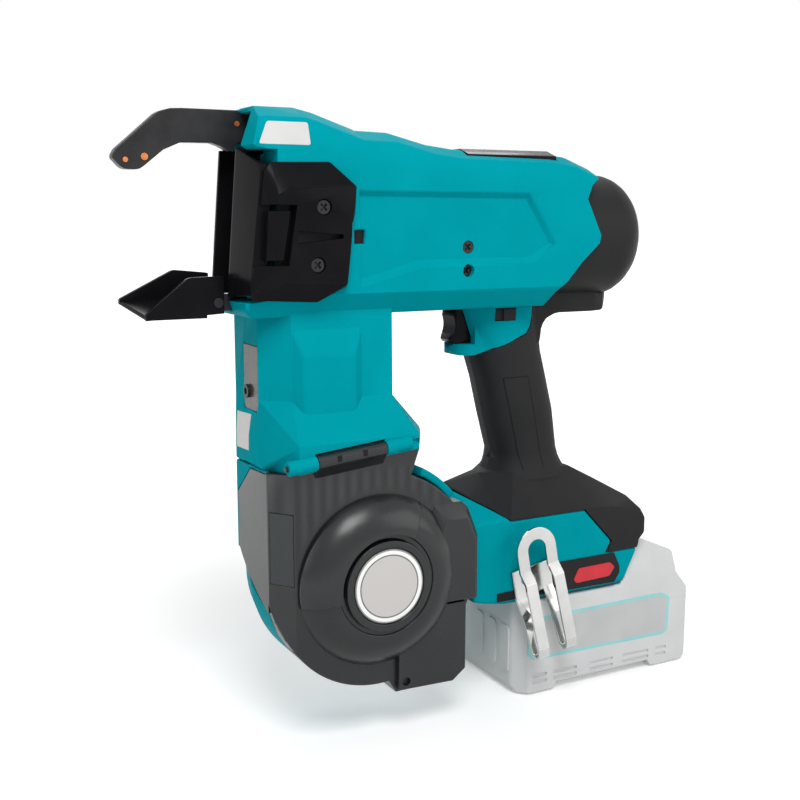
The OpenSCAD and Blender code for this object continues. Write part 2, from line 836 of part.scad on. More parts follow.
module feed_bracket() {
    color([0.45, 0.46, 0.48])
        difference() {
            union() {
                block(wire_x + 8.5, wire_x + 11, -column_half_w + 3, column_half_w - 3, feed_z - 11,
                      feed_z + 11);
                rod_x(wire_x - 2.2, wire_x + 9, 3, -feed_y, feed_z);
            }
            rod_x(wire_x, wire_x + 20, 3.5 + run_fit, feed_y, feed_z);
        }
}

module feed_motor() {
    color([0.3, 0.31, 0.33])
        difference() {
            rod_x(wire_x + 11, wire_x + 42, 13, feed_y, feed_z);
            rod_x(wire_x, wire_x + 18, 3.5 + run_fit, feed_y, feed_z);
        }
}

module feed_wire() {
    leave = [reel_x - winding_r - wire_r - 0.4, reel_y, reel_z];
    run = [wire_x, 0, feed_z - 15] - leave;
    color([0.7, 0.7, 0.72]) {
        translate(leave)
            rotate([0, acos(run[2] / norm(run)), atan2(run[1], run[0])])
                cylinder(h = norm(run), r = wire_r);
        rod_z(feed_z - 15, wire_top_z, wire_r, wire_x, 0);
        translate([wire_x, 0, feed_z - 15])
            sphere(r = wire_r + 0.05);
    }
}

module wire_window() {
    color([0.35, 0.37, 0.38, 0.5])
        difference() {
            block(column_front_x, column_front_x + 2, -16.5, 3.5, 178.5, 212.5);
            rod_x(column_front_x - 1, column_front_x + 3, 2, -3, 188);
        }
}

module window_screw() {
    color([0.2, 0.2, 0.21])
        difference() {
            union() {
                rod_x(column_front_x - 1.8, column_front_x, 3.6, -3, 188);
                rod_x(column_front_x - 0.5, column_front_x + 4, 1.98, -3, 188);
            }
            translate([column_front_x - 2, -3, 188])
                rotate([0, 90, 0])
                    cylinder(h = 1.4, r = 2, $fn = 6);
        }
}

// Outline of the reel compartment, inset by a wall
module compartment_2d(inset) {
    translate([reel_x, reel_z])
        circle(r = case_r - inset);
    polygon([[case_front + inset, reel_z], [case_front + inset, case_top_z(case_front) - inset],
             [reel_x + 24.5, case_top_z(reel_x + 24.5) - inset], [reel_x, reel_z]]);
}

module compartment(inset, y0, y1) {
    translate([0, y1, 0])
        rotate([90, 0, 0])
            linear_extrude(y1 - y0)
                compartment_2d(inset);
}

// Space that the cover's front wall takes out of the case
module front_wall_space(clear) {
    pivot_z = hinge_z + (case_front - hinge_x) * tan(hinge_tilt);
    reach = [wall_edge_y - hinge_y, reel_z + 11.5 - pivot_z];
    r = norm(reach);
    end_prism(concat([[parting_y - 20, flare_z - 5 + clear], [parting_y - 20, pivot_z - r + 1 - clear]],
                     arc(hinge_y, pivot_z, r + clear, -77, atan2(reach[1], reach[0]), 8),
                     [[wall_edge_y + clear, flare_z - 22.5 + clear],
                      [wall_edge_y - 20 + clear, flare_z - 6 + clear],
                      [parting_y, flare_z - 5 + clear]]),
              case_front - 5, case_front + 11 + clear);
}

module reel_case() {
    color([0, 0.52, 0.56])
        difference() {
            union() {
                compartment(0, parting_y + gap, case_mid_y);
                hull() {
                    compartment(0, case_mid_y - 0.1, case_mid_y);
                    compartment(case_draft, case_rim_y - 0.1, case_rim_y);
                }
                hull() {
                    compartment(case_draft, case_rim_y - 0.1, case_rim_y);
                    compartment(case_taper, case_right_y - 0.1, case_right_y);
                }
                plan_prism([[case_front, case_mid_y], [case_front, wall_edge_y + 1.5],
                            [case_front + 12, wall_edge_y + 13], [case_front + 30, wall_edge_y + 13],
                            [case_front + 30, case_mid_y]], reel_z + 12, flare_z - 5);
                side_prism([[base_front_x - 15.3, reel_z - 22.5], [base_front_x - gap, reel_z - 22.5],
                            [base_front_x - gap, reel_z + 33.5], [base_front_x - 9.3, reel_z + 39.5],
                            [base_front_x - 19.3, reel_z + 42.5]], parting_y + gap, case_rim_y);
                rod_y(case_right_y - 1, case_right_y + 3, 20, reel_x, reel_z);
                intersection() {
                    rod_y(-base_half_w, case_rim_y, flange_r, reel_x, reel_z);
                    side_prism([[reel_x, reel_z], [reel_x + 80, reel_z + 66], [reel_x + 42, reel_z + 80]],
                               -60, 60);
                }
            }
            compartment(case_wall, parting_y - 30, case_mid_y);
            hull() {
                compartment(case_wall, case_mid_y - 0.1, case_mid_y);
                compartment(case_draft + 2.4, case_rim_y - 0.1, case_rim_y);
            }
            hull() {
                compartment(case_draft + 2.4, case_rim_y - 0.1, case_rim_y);
                compartment(case_taper + 2, case_right_y - case_wall - 0.1, case_right_y - case_wall);
            }
            rod_y(-80, parting_y + gap, case_r + 1, reel_x, reel_z);
            front_wall_space(2 * gap);
            block(case_front + 3, case_front + 21, -22, 10, flare_z - 14, flare_z + 6);
            rod_y(case_right_y - 10, case_right_y + 10, 4, reel_x, reel_z);
        }
}

module reel_hub() {
    color([0.2, 0.2, 0.21])
        difference() {
            union() {
                rod_y(spool_y0 - 0.4, case_right_y - case_wall, hub_r, reel_x, reel_z);
                rod_y(spool_y0 - 3.2, spool_y0 - 0.4, hub_r + 3, reel_x, reel_z);
                rod_y(spool_y1 + 0.4, case_right_y - case_wall, hub_r + 7, reel_x, reel_z);
                rod_y(case_right_y - case_wall - 1, case_right_y + 3, 3.98, reel_x, reel_z);
                rod_y(case_right_y + 3, case_right_y + 6, 10, reel_x, reel_z);
            }
            rod_y(spool_y0 - 10, spool_y1, hub_r - 4, reel_x, reel_z);
        }
}

module wire_reel() {
    h = spool_w / 2;
    color([0.13, 0.13, 0.14])
        translate([reel_x, reel_y, reel_z])
            rotate([-90, 0, 0])
                rotate_extrude()
                    polygon([[hub_r + run_fit, -h], [spool_r, -h], [spool_r, -h + 2.5], [22, -h + 2.5],
                             [22, h - 2.5], [spool_r, h - 2.5], [spool_r, h], [hub_r + run_fit, h]]);
}

module wire_winding() {
    h = spool_w / 2 - 2.5;
    color([0.55, 0.55, 0.57])
        difference() {
            rod_y(reel_y - h, reel_y + h, winding_r, reel_x, reel_z);
            rod_y(reel_y - h - 1, reel_y + h + 1, 22, reel_x, reel_z);
        }
}

module cover_2d() {
    compartment_2d(0);
    low = cover_foot_z;
    polygon([[reel_x + 23.5, reel_z - 19.5], [lug_x, reel_z - 19.5], [lug_x, reel_z + 17],
             [lug_x - 6.5, reel_z + 33.5], [lug_x - 11, reel_z + 37], [reel_x + 23.5, reel_z + 37]]);
    polygon([[reel_x + 2.5, reel_z - 28.5], [reel_x + 2.5, low + 12], [reel_x + 9.5, low],
             [reel_x + 44.5, low], [lug_x - 8, low + 6], [lug_x - 8, reel_z - 19.5],
             [reel_x + 23.5, reel_z - 8.5]]);
}

module cover_shell() {
    intersection() {
        translate([0, parting_y, 0])
            rotate([90, 0, 0])
                linear_extrude(parting_y - cover_face_y)
                    cover_2d();
        plan_prism([[case_front, 20], [case_front, parting_y - 3], [case_front + 9.7, cover_face_y],
                    [lug_x + 8, cover_face_y], [lug_x + 8, 20]], -20, flare_z + 50);
    }
    hull() {
        side_prism([[reel_x + 22.5, reel_z - 19], [lug_x - 0.5, reel_z - 19], [lug_x - 0.5, reel_z + 16.5],
                    [lug_x - 7, reel_z + 33], [lug_x - 11.5, reel_z + 36.5], [lug_x - 28, reel_z + 36.5],
                    [lug_x - 26, reel_z + 17.5]], cover_face_y, cover_face_y + 1);
        side_prism([[reel_x + 24.5, reel_z - 17], [lug_x - 3.5, reel_z - 17], [lug_x - 3.5, reel_z + 15.5],
                    [lug_x - 9, reel_z + 29], [lug_x - 23, reel_z + 29], [lug_x - 22, reel_z + 17.5]],
                   cover_face_y - 5, cover_face_y);
    }
    side_prism([[reel_x + 10, reel_z - 36.5], [reel_x + 10, cover_foot_z + 1.5],
                [reel_x + 44, cover_foot_z + 0.5], [lug_x - 8.5, cover_foot_z + 6.5],
                [lug_x - 8.5, reel_z - 19], [reel_x + 36.5, reel_z - 19]],
               cover_face_y - 3, cover_face_y + 1);
    intersection() {
        front_wall_space(0);
        block(case_front, case_front + case_wall, parting_y - 2, wall_edge_y + 1, reel_z - 20, flare_z - 5);
    }
    translate([reel_x, cover_face_y, reel_z])
        rotate([90, 0, 0])
            rotate_extrude()
                polygon(concat([[0, -1], [dome_r, -1]],
                               arc(dome_r - 17, dome_h - 24.5, 20, acos(17 / 20), 90, 6),
                               [[disc_r + 7.7, dome_h - 4.5], [disc_r + 7.2, dome_h - 5.3],
                                [disc_r + 5.2, dome_h - 5.3], [disc_r + 4.4, dome_h - 2.2],
                                [disc_r + 1, dome_h - 2.2], [disc_r + 0.6, dome_h - 3], [0, dome_h - 3]]));
    translate([reel_x, cover_face_y, reel_z])
        rotate([90, 0, 0])
            rotate([0, 0, 60])
                rotate_extrude(angle = 130)
                    polygon(concat([[dome_r - 19, 0], [dome_r, 0]],
                                   arc(dome_r - 19.5, dome_h - 22.5, 22.5, acos(19.5 / 22.5), 88, 6),
                                   [[dome_r - 19, dome_h - 0.6]]));
}

module reel_cover() {
    color([0.17, 0.17, 0.18])
        difference() {
            union() {
                cover_shell();
                at_hinge() {
                    rod_x(-18.7, 19.7, knuckle_r, 0, 0);
                    end_prism([[-3.4, -1.4], [2.2, 2.8], [4.6, -4.9], [6.5, -4.9], [6.5, -9], [3.8, -9]],
                              -18.7, 19.7);
                }
            }
            intersection() {
                compartment(case_wall, cover_face_y + case_wall, 20);
                plan_prism([[case_front + case_wall, 30], [case_front + case_wall, parting_y - 3.6],
                            [case_front + 9.9, cover_face_y + case_wall],
                            [lug_x + 8, cover_face_y + case_wall], [lug_x + 8, 30]], 0, flare_z + 50);
            }
            translate([reel_x, cover_face_y, reel_z])
                rotate([90, 0, 0])
                    rotate_extrude()
                        polygon([[0, -case_wall - 1], [dome_r - 4, -case_wall - 1], [dome_r - 4, -1.5],
                                 [28, dome_h - case_wall - 5], [0, dome_h - case_wall - 5.5]]);
            block(lug_x - 30, lug_x - 3, cover_face_y - 2, parting_y + 1, reel_z - 16.5, reel_z + 15.5);
            block(reel_x + 14.5, reel_x + 48.5, cover_face_y, parting_y + 1, cover_foot_z + 4,
                  cover_foot_z + 16);
            at_hinge()
                rod_x(-40, 40, hinge_pin_r + run_fit, 0, 0);
            window_inlay(0.1);
            rod_y(cover_face_y - 10, cover_face_y + 4, 2.4, latch_at[0], latch_at[1]);
        }
}

// Smoked window let into the cover's chamfer
module window_inlay(clear) {
    run = [9.7, cover_face_y - parting_y + 3] / norm([9.7, cover_face_y - parting_y + 3]);
    n = [-run[1], run[0]] * (1.4 + clear);
    corner = [case_front, parting_y - 3];
    a = corner + run * (1 - clear);
    b = corner + run * (15 + clear);
    plan_prism([a, b, b + n, a + n], reel_z + 3.5 - clear, reel_z + 41 + clear);
}

module cover_window() {
    color([0.08, 0.1, 0.1, 0.7])
        window_inlay(0);
}

module cover_disc() {
    color([0.75, 0.74, 0.71])
        rod_y(cover_face_y - dome_h + 2.2, cover_face_y - dome_h + 3, disc_r, reel_x, reel_z);
}

module latch_screw() {
    color([0.3, 0.3, 0.31])
        rod_y(cover_face_y - 1, cover_face_y + 4, 2.38, latch_at[0], latch_at[1]);
}

module hinge_pin() {
    color([0.72, 0.72, 0.74])
        at_hinge()
            rod_x(-36, 36, hinge_pin_r, 0, 0);
}

module trigger() {
    w = trigger_w / 2;
    color([0.14, 0.14, 0.15])
        intersection() {
            plan_prism(concat(arc(-89, -w + 5, 5, 180, 270, 4), [[-60, -w], [-60, w]],
                              arc(-89, w - 5, 5, 90, 180, 4)), 200, 240);
            side_prism(concat([[-90, body_bottom_z - 0.4]], arc(-102, 217, 12, 25, -25, 6),
                              [[-93.5, 209], [-90.5, 206.8], [-73, 206.8], [-73, 217], [-80, 217],
                               [-80, body_bottom_z - 0.4]]), -w, w);
        }
}

module trigger_switch() {
    color([0.1, 0.1, 0.11])
        block(-66.8, -46.2, -9, 9, 201.7, 217.8);
}

module lock_button() {
    color([0.1, 0.1, 0.11])
        difference() {
            block(lock_x - lock_w / 2, lock_x + lock_w / 2, -grip_half_w - 1.5, grip_half_w + 1.5,
                  lock_z - lock_h / 2, lock_z + lock_h / 2);
            mirrored()
                block(lock_x - lock_w / 2 - 1, lock_x - 2, -grip_half_w - 4, -grip_half_w, lock_z - 9,
                      lock_z + 9);
        }
}

// Crowned section of the control panel
module panel_prism(x0, x1, clear, rise) {
    w = 25 + clear;
    z = body_top_z;
    low = max(z - 7, barrel_top_z + 1);
    end_prism([[-w, low], [w, low], [w, z - 1.6 + rise], [16, z + 1.6 + rise], [-16, z + 1.6 + rise],
               [-w, z - 1.6 + rise]], x0, x1);
}

module control_panel() {
    color([0.1, 0.1, 0.11])
        difference() {
            panel_prism(-93.5, -35.5, 0, 0);
            for (p = panel_button_at)
                rod_z(body_top_z - 1, body_top_z + 5, 4.4, p, 0);
        }
}

module panel_button(x) {
    color([0.62, 0.64, 0.65])
        rod_z(body_top_z - 0.2, body_top_z + 2.4, 4, x, 0);
}

module power_button() {
    panel_button(panel_button_at[0]);
}

module strength_button() {
    panel_button(panel_button_at[1]);
}

module control_board() {
    color([0.1, 0.3, 0.2]) {
        block(-76, -6, -base_half_w + 9, base_half_w - 9, 72, 80);
        block(-60, -30, -20, 20, 79, 92);
        for (x = [-23, -12])
            rod_z(79, 88, 5, x, 14);
    }
}

module terminal_block() {
    color([0.12, 0.12, 0.13])
        block(-46, -24, -12, 12, base_bottom_z + 5, base_bottom_z + rail_h + 0.4);
}

// Frame of the belt hook, which leans towards the rear
module at_clip() {
    translate([-58, -base_half_w - 0.6, 73])
        rotate([0, -10, 0])
            children();
}

// One leg of the belt hook as a bent strip in Y and Z
module clip_leg() {
    path = [[-0.8, -8], [-7, -22], [-10, -35], [-11.5, -39.5], [-14.5, -42], [-17.5, -40], [-18.3, -36],
            [-14, 3], [-9.6, 9], [-9.6, 12]];
    for (i = [0:len(path) - 2]) {
        d = (path[i + 1] - path[i]) / norm(path[i + 1] - path[i]);
        n = [-d[1], d[0]] * clip_t / 2;
        end_prism([path[i] - n - d * 0.4, path[i + 1] - n + d * 0.4, path[i + 1] + n + d * 0.4,
                   path[i] + n - d * 0.4], -clip_leg_w / 2, clip_leg_w / 2);
    }
}

module belt_hook() {
    color([0.8, 0.8, 0.8])
        at_clip()
            difference() {
                union() {
                    block(-13, 13, -clip_t, 0, -9, 7.5);
                    for (s = [-1, 1])
                        translate([s * 9.5, 0, 0])
                            clip_leg();
                    difference() {
                        union() {
                            rod_y(-10.4, -8.8, 13, 0, 20);
                            block(-13, 13, -10.4, -8.8, 11, 20);
                        }
                        rod_y(-12, -5, 6, 0, 20);
                        block(-6, 6, -12, -5, 5, 20);
                    }
                }
                rod_y(-10, 5, 2.1, -3, 0);
            }
}

module belt_hook_screw() {
    color([0.4, 0.4, 0.42])
        at_clip() {
            rod_y(-clip_t - 2, -clip_t, 3.8, -3, 0);
            rod_y(-clip_t - 1, 0, 2.08, -3, 0);
        }
}

battery_outline = [
    [battery_x0, battery_top_z], [battery_x0, 4], [battery_x0 + 3, 0], [battery_x1 - 6, 0],
    [battery_x1 - 1.5, 4.5], [battery_x1, 44.5], [battery_x1 - 12, 59.2], [battery_x1 - 12.4, 72],
    [battery_x1 - 23.3, 75.6], [battery_x1 - 36, 81.6], [battery_x1 - 40, 83.4], [21.9, 81],
    [9.6, battery_top_z]];

module battery_solid() {
    w = battery_half_w;
    difference() {
        intersection() {
            side_prism(battery_outline, -w, w);
            plan_prism([[battery_x0, -w + 8], [battery_x0 + 8, -w], [battery_x1 - 3, -w],
                        [battery_x1, -w + 4], [battery_x1, w - 4], [battery_x1 - 3, w],
                        [battery_x0 + 8, w], [battery_x0, w - 8]], -1, 100);
            end_prism([[-w, -1], [w, -1], [w, 61], [w - 8, 84], [-w + 8, 84], [-w, 61]], -90, 90);
        }
        mirrored()
            side_prism([[-40, -1], [-36, foot_h], [32, foot_h], [36, -1]], -60, -18);
        block(battery_x0 + 10, battery_x1 - 10, -battery_half_w + 3.2, battery_half_w - 3.2, 6, 49.6);
        mirrored()
            for (slot = battery_slots, k = [0:1])
                block(slot[0], slot[1], -w - 1, -w + 0.8, 5.8 + 4 * k, 7.8 + 4 * k);
    }
}

module battery_case() {
    color([0.78, 0.79, 0.79])
        intersection() {
            battery_solid();
            block(-100, 100, -60, 60, -1, 42);
        }
}

module battery_top() {
    h = base_bottom_z + rail_h;
    color([0.78, 0.79, 0.79])
        difference() {
            union() {
                intersection() {
                    battery_solid();
                    block(-100, 100, -60, 60, 42, 100);
                }
                block(-62, 4, -22, 22, battery_top_z - 2, 63);
                block(-62, 4, -rail_half_w, rail_half_w, 62.1, h);
            }
            block(-66, -22, -12.6, 12.6, base_bottom_z + 4.4, 80);
            at_release()
                block(-7.8, 7.8, -13.3, 13.3, -6.5, 20);
        }
}

module battery_cells() {
    cells = floor((battery_len - 20) / 21.5);
    color([0.6, 0.6, 0.62])
        for (i = [0:cells - 1], k = [0:1])
            rod_y(-battery_half_w + 3.5, battery_half_w - 3.5, 10.5, 21.5 * (i - (cells - 1) / 2),
                  16.5 + 21.5 * k);
}

// Slope at the rear of the battery, with Z out of the slope
module at_release() {
    translate([battery_x1 - 6, 0, 51.9])
        rotate([0, release_tilt, 0])
            children();
}

module release_button() {
    color([0.5, 0.5, 0.51])
        at_release()
            block(-7.5, 7.5, -13, 13, -4, 1);
}

// Name of the sub-part to build, or all

left_housing();
right_housing();
reel_case();
motor_cover();
left_grip();
right_grip();
left_base_band();
right_base_band();
left_side_cover();
right_side_cover();
side_cover_screws();
body_screws();
upper_hook();
hook_pins();
lower_guide();
guide_lug();
guide_pin();
left_contact_plate();
right_contact_plate();
gearbox();
twist_motor();
spindle_bearing();
twist_spindle();
twist_jaws();
drive_wheel();
idler_wheel();
feed_bracket();
feed_motor();
feed_wire();
wire_window();
window_screw();
reel_hub();
wire_reel();
wire_winding();
reel_cover();
cover_window();
cover_disc();
latch_screw();
hinge_pin();
trigger();
trigger_switch();
lock_button();
control_panel();
power_button();
strength_button();
control_board();
terminal_block();
belt_hook();
belt_hook_screw();
battery_case();
battery_top();
battery_cells();
release_button();
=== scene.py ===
import json
import math
import bmesh
import bpy
from mathutils import Matrix, Vector
from mathutils.geometry import intersect_point_line
from mathutils.kdtree import KDTree


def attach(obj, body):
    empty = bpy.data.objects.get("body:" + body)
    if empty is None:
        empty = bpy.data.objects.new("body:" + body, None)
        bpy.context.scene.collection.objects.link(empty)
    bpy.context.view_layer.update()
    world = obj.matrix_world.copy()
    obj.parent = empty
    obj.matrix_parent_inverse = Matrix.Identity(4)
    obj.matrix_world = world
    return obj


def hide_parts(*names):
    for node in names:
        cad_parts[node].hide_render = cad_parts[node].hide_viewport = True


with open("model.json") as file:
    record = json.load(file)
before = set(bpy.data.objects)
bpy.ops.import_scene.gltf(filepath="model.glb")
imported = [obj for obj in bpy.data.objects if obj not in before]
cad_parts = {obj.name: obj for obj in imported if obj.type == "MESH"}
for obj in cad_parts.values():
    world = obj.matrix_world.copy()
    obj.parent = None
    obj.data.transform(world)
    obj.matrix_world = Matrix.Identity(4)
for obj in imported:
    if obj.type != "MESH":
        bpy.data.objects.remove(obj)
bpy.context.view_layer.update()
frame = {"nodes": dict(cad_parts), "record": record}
nodes = frame["nodes"]
scene = bpy.context.scene
scene.view_settings.view_transform = "Standard"
bodyOf = {n: b for b, names in frame["record"]["behaviour"]["bodies"].items() for n in names}
jointAt = {j["name"]: j.get("pos_m") for j in frame["record"]["behaviour"]["joints"]}
reelX, reelY, reelZ = jointAt["reel_turn"]
print("frame loaded with", len(nodes), "nodes")

# Camera at the photograph's viewing angle
cameraSet = {"place": (-0.41843, -0.55750, 0.28003), "aim": (-0.122, 0.0, 0.1755), "lens": 50.85,
             "sensor": 36.0, "near": 0.01}


def lookAt(thing, cfg):
    look = Vector(cfg["aim"]) - Vector(cfg["place"])
    thing.location = cfg["place"]
    thing.rotation_euler = look.to_track_quat("-Z", "Y").to_euler()


def addCamera(cfg):
    data = bpy.data.cameras.new("studioCamera")
    data.lens = cfg["lens"]
    data.sensor_width = cfg["sensor"]
    data.clip_start = cfg["near"]
    camera = bpy.data.objects.new("studioCamera", data)
    scene.collection.objects.link(camera)
    lookAt(camera, cfg)
    scene.camera = camera


addCamera(cameraSet)
print("camera placed")

# Soft studio light on a pale floor
lampSet = [
    {"name": "keyLamp", "place": (-0.38, -0.68, 0.98), "aim": (-0.12, 0, 0.22), "size": 0.45, "power": 7.4},
    {"name": "fillLamp", "place": (0.75, -0.95, 0.65), "aim": (-0.1, 0, 0.16), "size": 0.9, "power": 4.0},
    {"name": "backLamp", "place": (0.25, 0.9, 1.1), "aim": (-0.1, 0, 0.2), "size": 0.8, "power": 5.0},
    {"name": "noseLamp", "place": (-1.2, 0.1, 0.5), "aim": (-0.15, 0, 0.2), "size": 0.6, "power": 1.4},
]
worldSet = {"light": 0.35, "seen": 1.0}


def addLamp(cfg):
    data = bpy.data.lights.new(cfg["name"], "AREA")
    data.shape = "SQUARE"
    data.size = cfg["size"]
    data.energy = cfg["power"]
    lamp = bpy.data.objects.new(cfg["name"], data)
    scene.collection.objects.link(lamp)
    lookAt(lamp, cfg)


def seenByEye(tree):
    path = tree.nodes.new("ShaderNodeLightPath")
    first = tree.nodes.new("ShaderNodeMath")
    first.operation = "MAXIMUM"
    tree.links.new(path.outputs["Is Camera Ray"], first.inputs[0])
    tree.links.new(path.outputs["Is Glossy Ray"], first.inputs[1])
    both = tree.nodes.new("ShaderNodeMath")
    both.operation = "MAXIMUM"
    tree.links.new(first.outputs[0], both.inputs[0])
    tree.links.new(path.outputs["Is Transmission Ray"], both.inputs[1])
    return both.outputs[0]


def addWorld(cfg):
    world = bpy.data.worlds.new("whiteRoom")
    world.use_nodes = True
    scene.world = world
    tree = world.node_tree
    back = tree.nodes["Background"]
    back.inputs["Color"].default_value = (1, 1, 1, 1)
    strength = tree.nodes.new("ShaderNodeMapRange")
    strength.inputs["To Min"].default_value = cfg["light"]
    strength.inputs["To Max"].default_value = cfg["seen"]
    tree.links.new(seenByEye(tree), strength.inputs["Value"])
    tree.links.new(strength.outputs["Result"], back.inputs["Strength"])


floorSet = {"size": 8.0, "cells": 4, "drop": 0.0005, "colour": (0.86, 0.86, 0.86, 1), "rough": 0.9,
            "glowNear": 0.30, "glowFar": 1.0, "near": 0.25, "far": 1.1}


def addFloor(cfg):
    bm = bmesh.new()
    bmesh.ops.create_grid(bm, x_segments=cfg["cells"], y_segments=cfg["cells"], size=cfg["size"])
    bmesh.ops.translate(bm, verts=bm.verts, vec=(0, 0, -cfg["drop"]))
    mesh = bpy.data.meshes.new("floor")
    bm.to_mesh(mesh)
    bm.free()
    floor = bpy.data.objects.new("floor", mesh)
    scene.collection.objects.link(floor)
    material = bpy.data.materials.new("paleFloor")
    material.use_nodes = True
    tree = material.node_tree
    shader = tree.nodes["Principled BSDF"]
    shader.inputs["Base Color"].default_value = cfg["colour"]
    shader.inputs["Roughness"].default_value = cfg["rough"]
    shader.inputs["Specular IOR Level"].default_value = 0.0
    shader.inputs["Emission Color"].default_value = (1, 1, 1, 1)
    place = tree.nodes.new("ShaderNodeTexCoord")
    away = tree.nodes.new("ShaderNodeVectorMath")
    away.operation = "LENGTH"
    tree.links.new(place.outputs["Object"], away.inputs[0])
    fade = tree.nodes.new("ShaderNodeMapRange")
    fade.inputs["From Min"].default_value = cfg["near"]
    fade.inputs["From Max"].default_value = cfg["far"]
    fade.inputs["To Min"].default_value = cfg["glowNear"]
    fade.inputs["To Max"].default_value = cfg["glowFar"]
    tree.links.new(away.outputs["Value"], fade.inputs["Value"])
    glow = tree.nodes.new("ShaderNodeMath")
    glow.operation = "MULTIPLY"
    tree.links.new(fade.outputs["Result"], glow.inputs[0])
    tree.links.new(seenByEye(tree), glow.inputs[1])
    tree.links.new(glow.outputs[0], shader.inputs["Emission Strength"])
    mesh.materials.append(material)


for lamp in lampSet:
    addLamp(lamp)
addWorld(worldSet)
addFloor(floorSet)
print("studio ready")


# Materials
noiseBand = {"low": 0.3, "high": 0.7}  # where noise has most of its values


def startMaterial(name, cfg):
    material = bpy.data.materials.new(name)
    material.use_nodes = True
    shader = material.node_tree.nodes["Principled BSDF"]
    shader.inputs["Metallic"].default_value = cfg.get("metal", 0.0)
    shader.inputs["Specular IOR Level"].default_value = cfg.get("specular", 0.5)
    return material, material.node_tree, shader


def noiseOn(tree, scale, detail=3.0, stretch=(1, 1, 1)):
    place = tree.nodes.new("ShaderNodeTexCoord")
    turn = tree.nodes.new("ShaderNodeMapping")
    turn.inputs["Scale"].default_value = stretch
    noise = tree.nodes.new("ShaderNodeTexNoise")
    noise.inputs["Scale"].default_value = scale
    noise.inputs["Detail"].default_value = detail
    tree.links.new(place.outputs["Object"], turn.inputs["Vector"])
    tree.links.new(turn.outputs["Vector"], noise.inputs["Vector"])
    return noise.outputs["Fac"]


def spread(tree, value, low, high):
    band = tree.nodes.new("ShaderNodeMapRange")
    band.inputs["From Min"].default_value = noiseBand["low"]
    band.inputs["From Max"].default_value = noiseBand["high"]
    band.inputs["To Min"].default_value = low
    band.inputs["To Max"].default_value = high
    tree.links.new(value, band.inputs["Value"])
    return band.outputs["Result"]


def tint(tree, value, dark, light):
    ramp = tree.nodes.new("ShaderNodeValToRGB")
    ramp.color_ramp.elements[0].position = noiseBand["low"]
    ramp.color_ramp.elements[0].color = (*dark, 1)
    ramp.color_ramp.elements[1].position = noiseBand["high"]
    ramp.color_ramp.elements[1].color = (*light, 1)
    tree.links.new(value, ramp.inputs["Fac"])
    return ramp.outputs["Color"]


def bumpFrom(tree, shader, height, strength, depth):
    bump = tree.nodes.new("ShaderNodeBump")
    bump.inputs["Strength"].default_value = strength
    bump.inputs["Distance"].default_value = depth
    tree.links.new(height, bump.inputs["Height"])
    tree.links.new(bump.outputs["Normal"], shader.inputs["Normal"])


def moulded(name, cfg):
    material, tree, shader = startMaterial(name, cfg)
    cloud = noiseOn(tree, cfg["cloud"])
    tree.links.new(tint(tree, cloud, cfg["dark"], cfg["light"]), shader.inputs["Base Color"])
    tree.links.new(spread(tree, cloud, cfg["smooth"], cfg["rough"]), shader.inputs["Roughness"])
    grain = noiseOn(tree, cfg["grain"], 2.0, cfg.get("stretch", (1, 1, 1)))
    bumpFrom(tree, shader, grain, cfg["strength"], cfg["depth"])
    return material


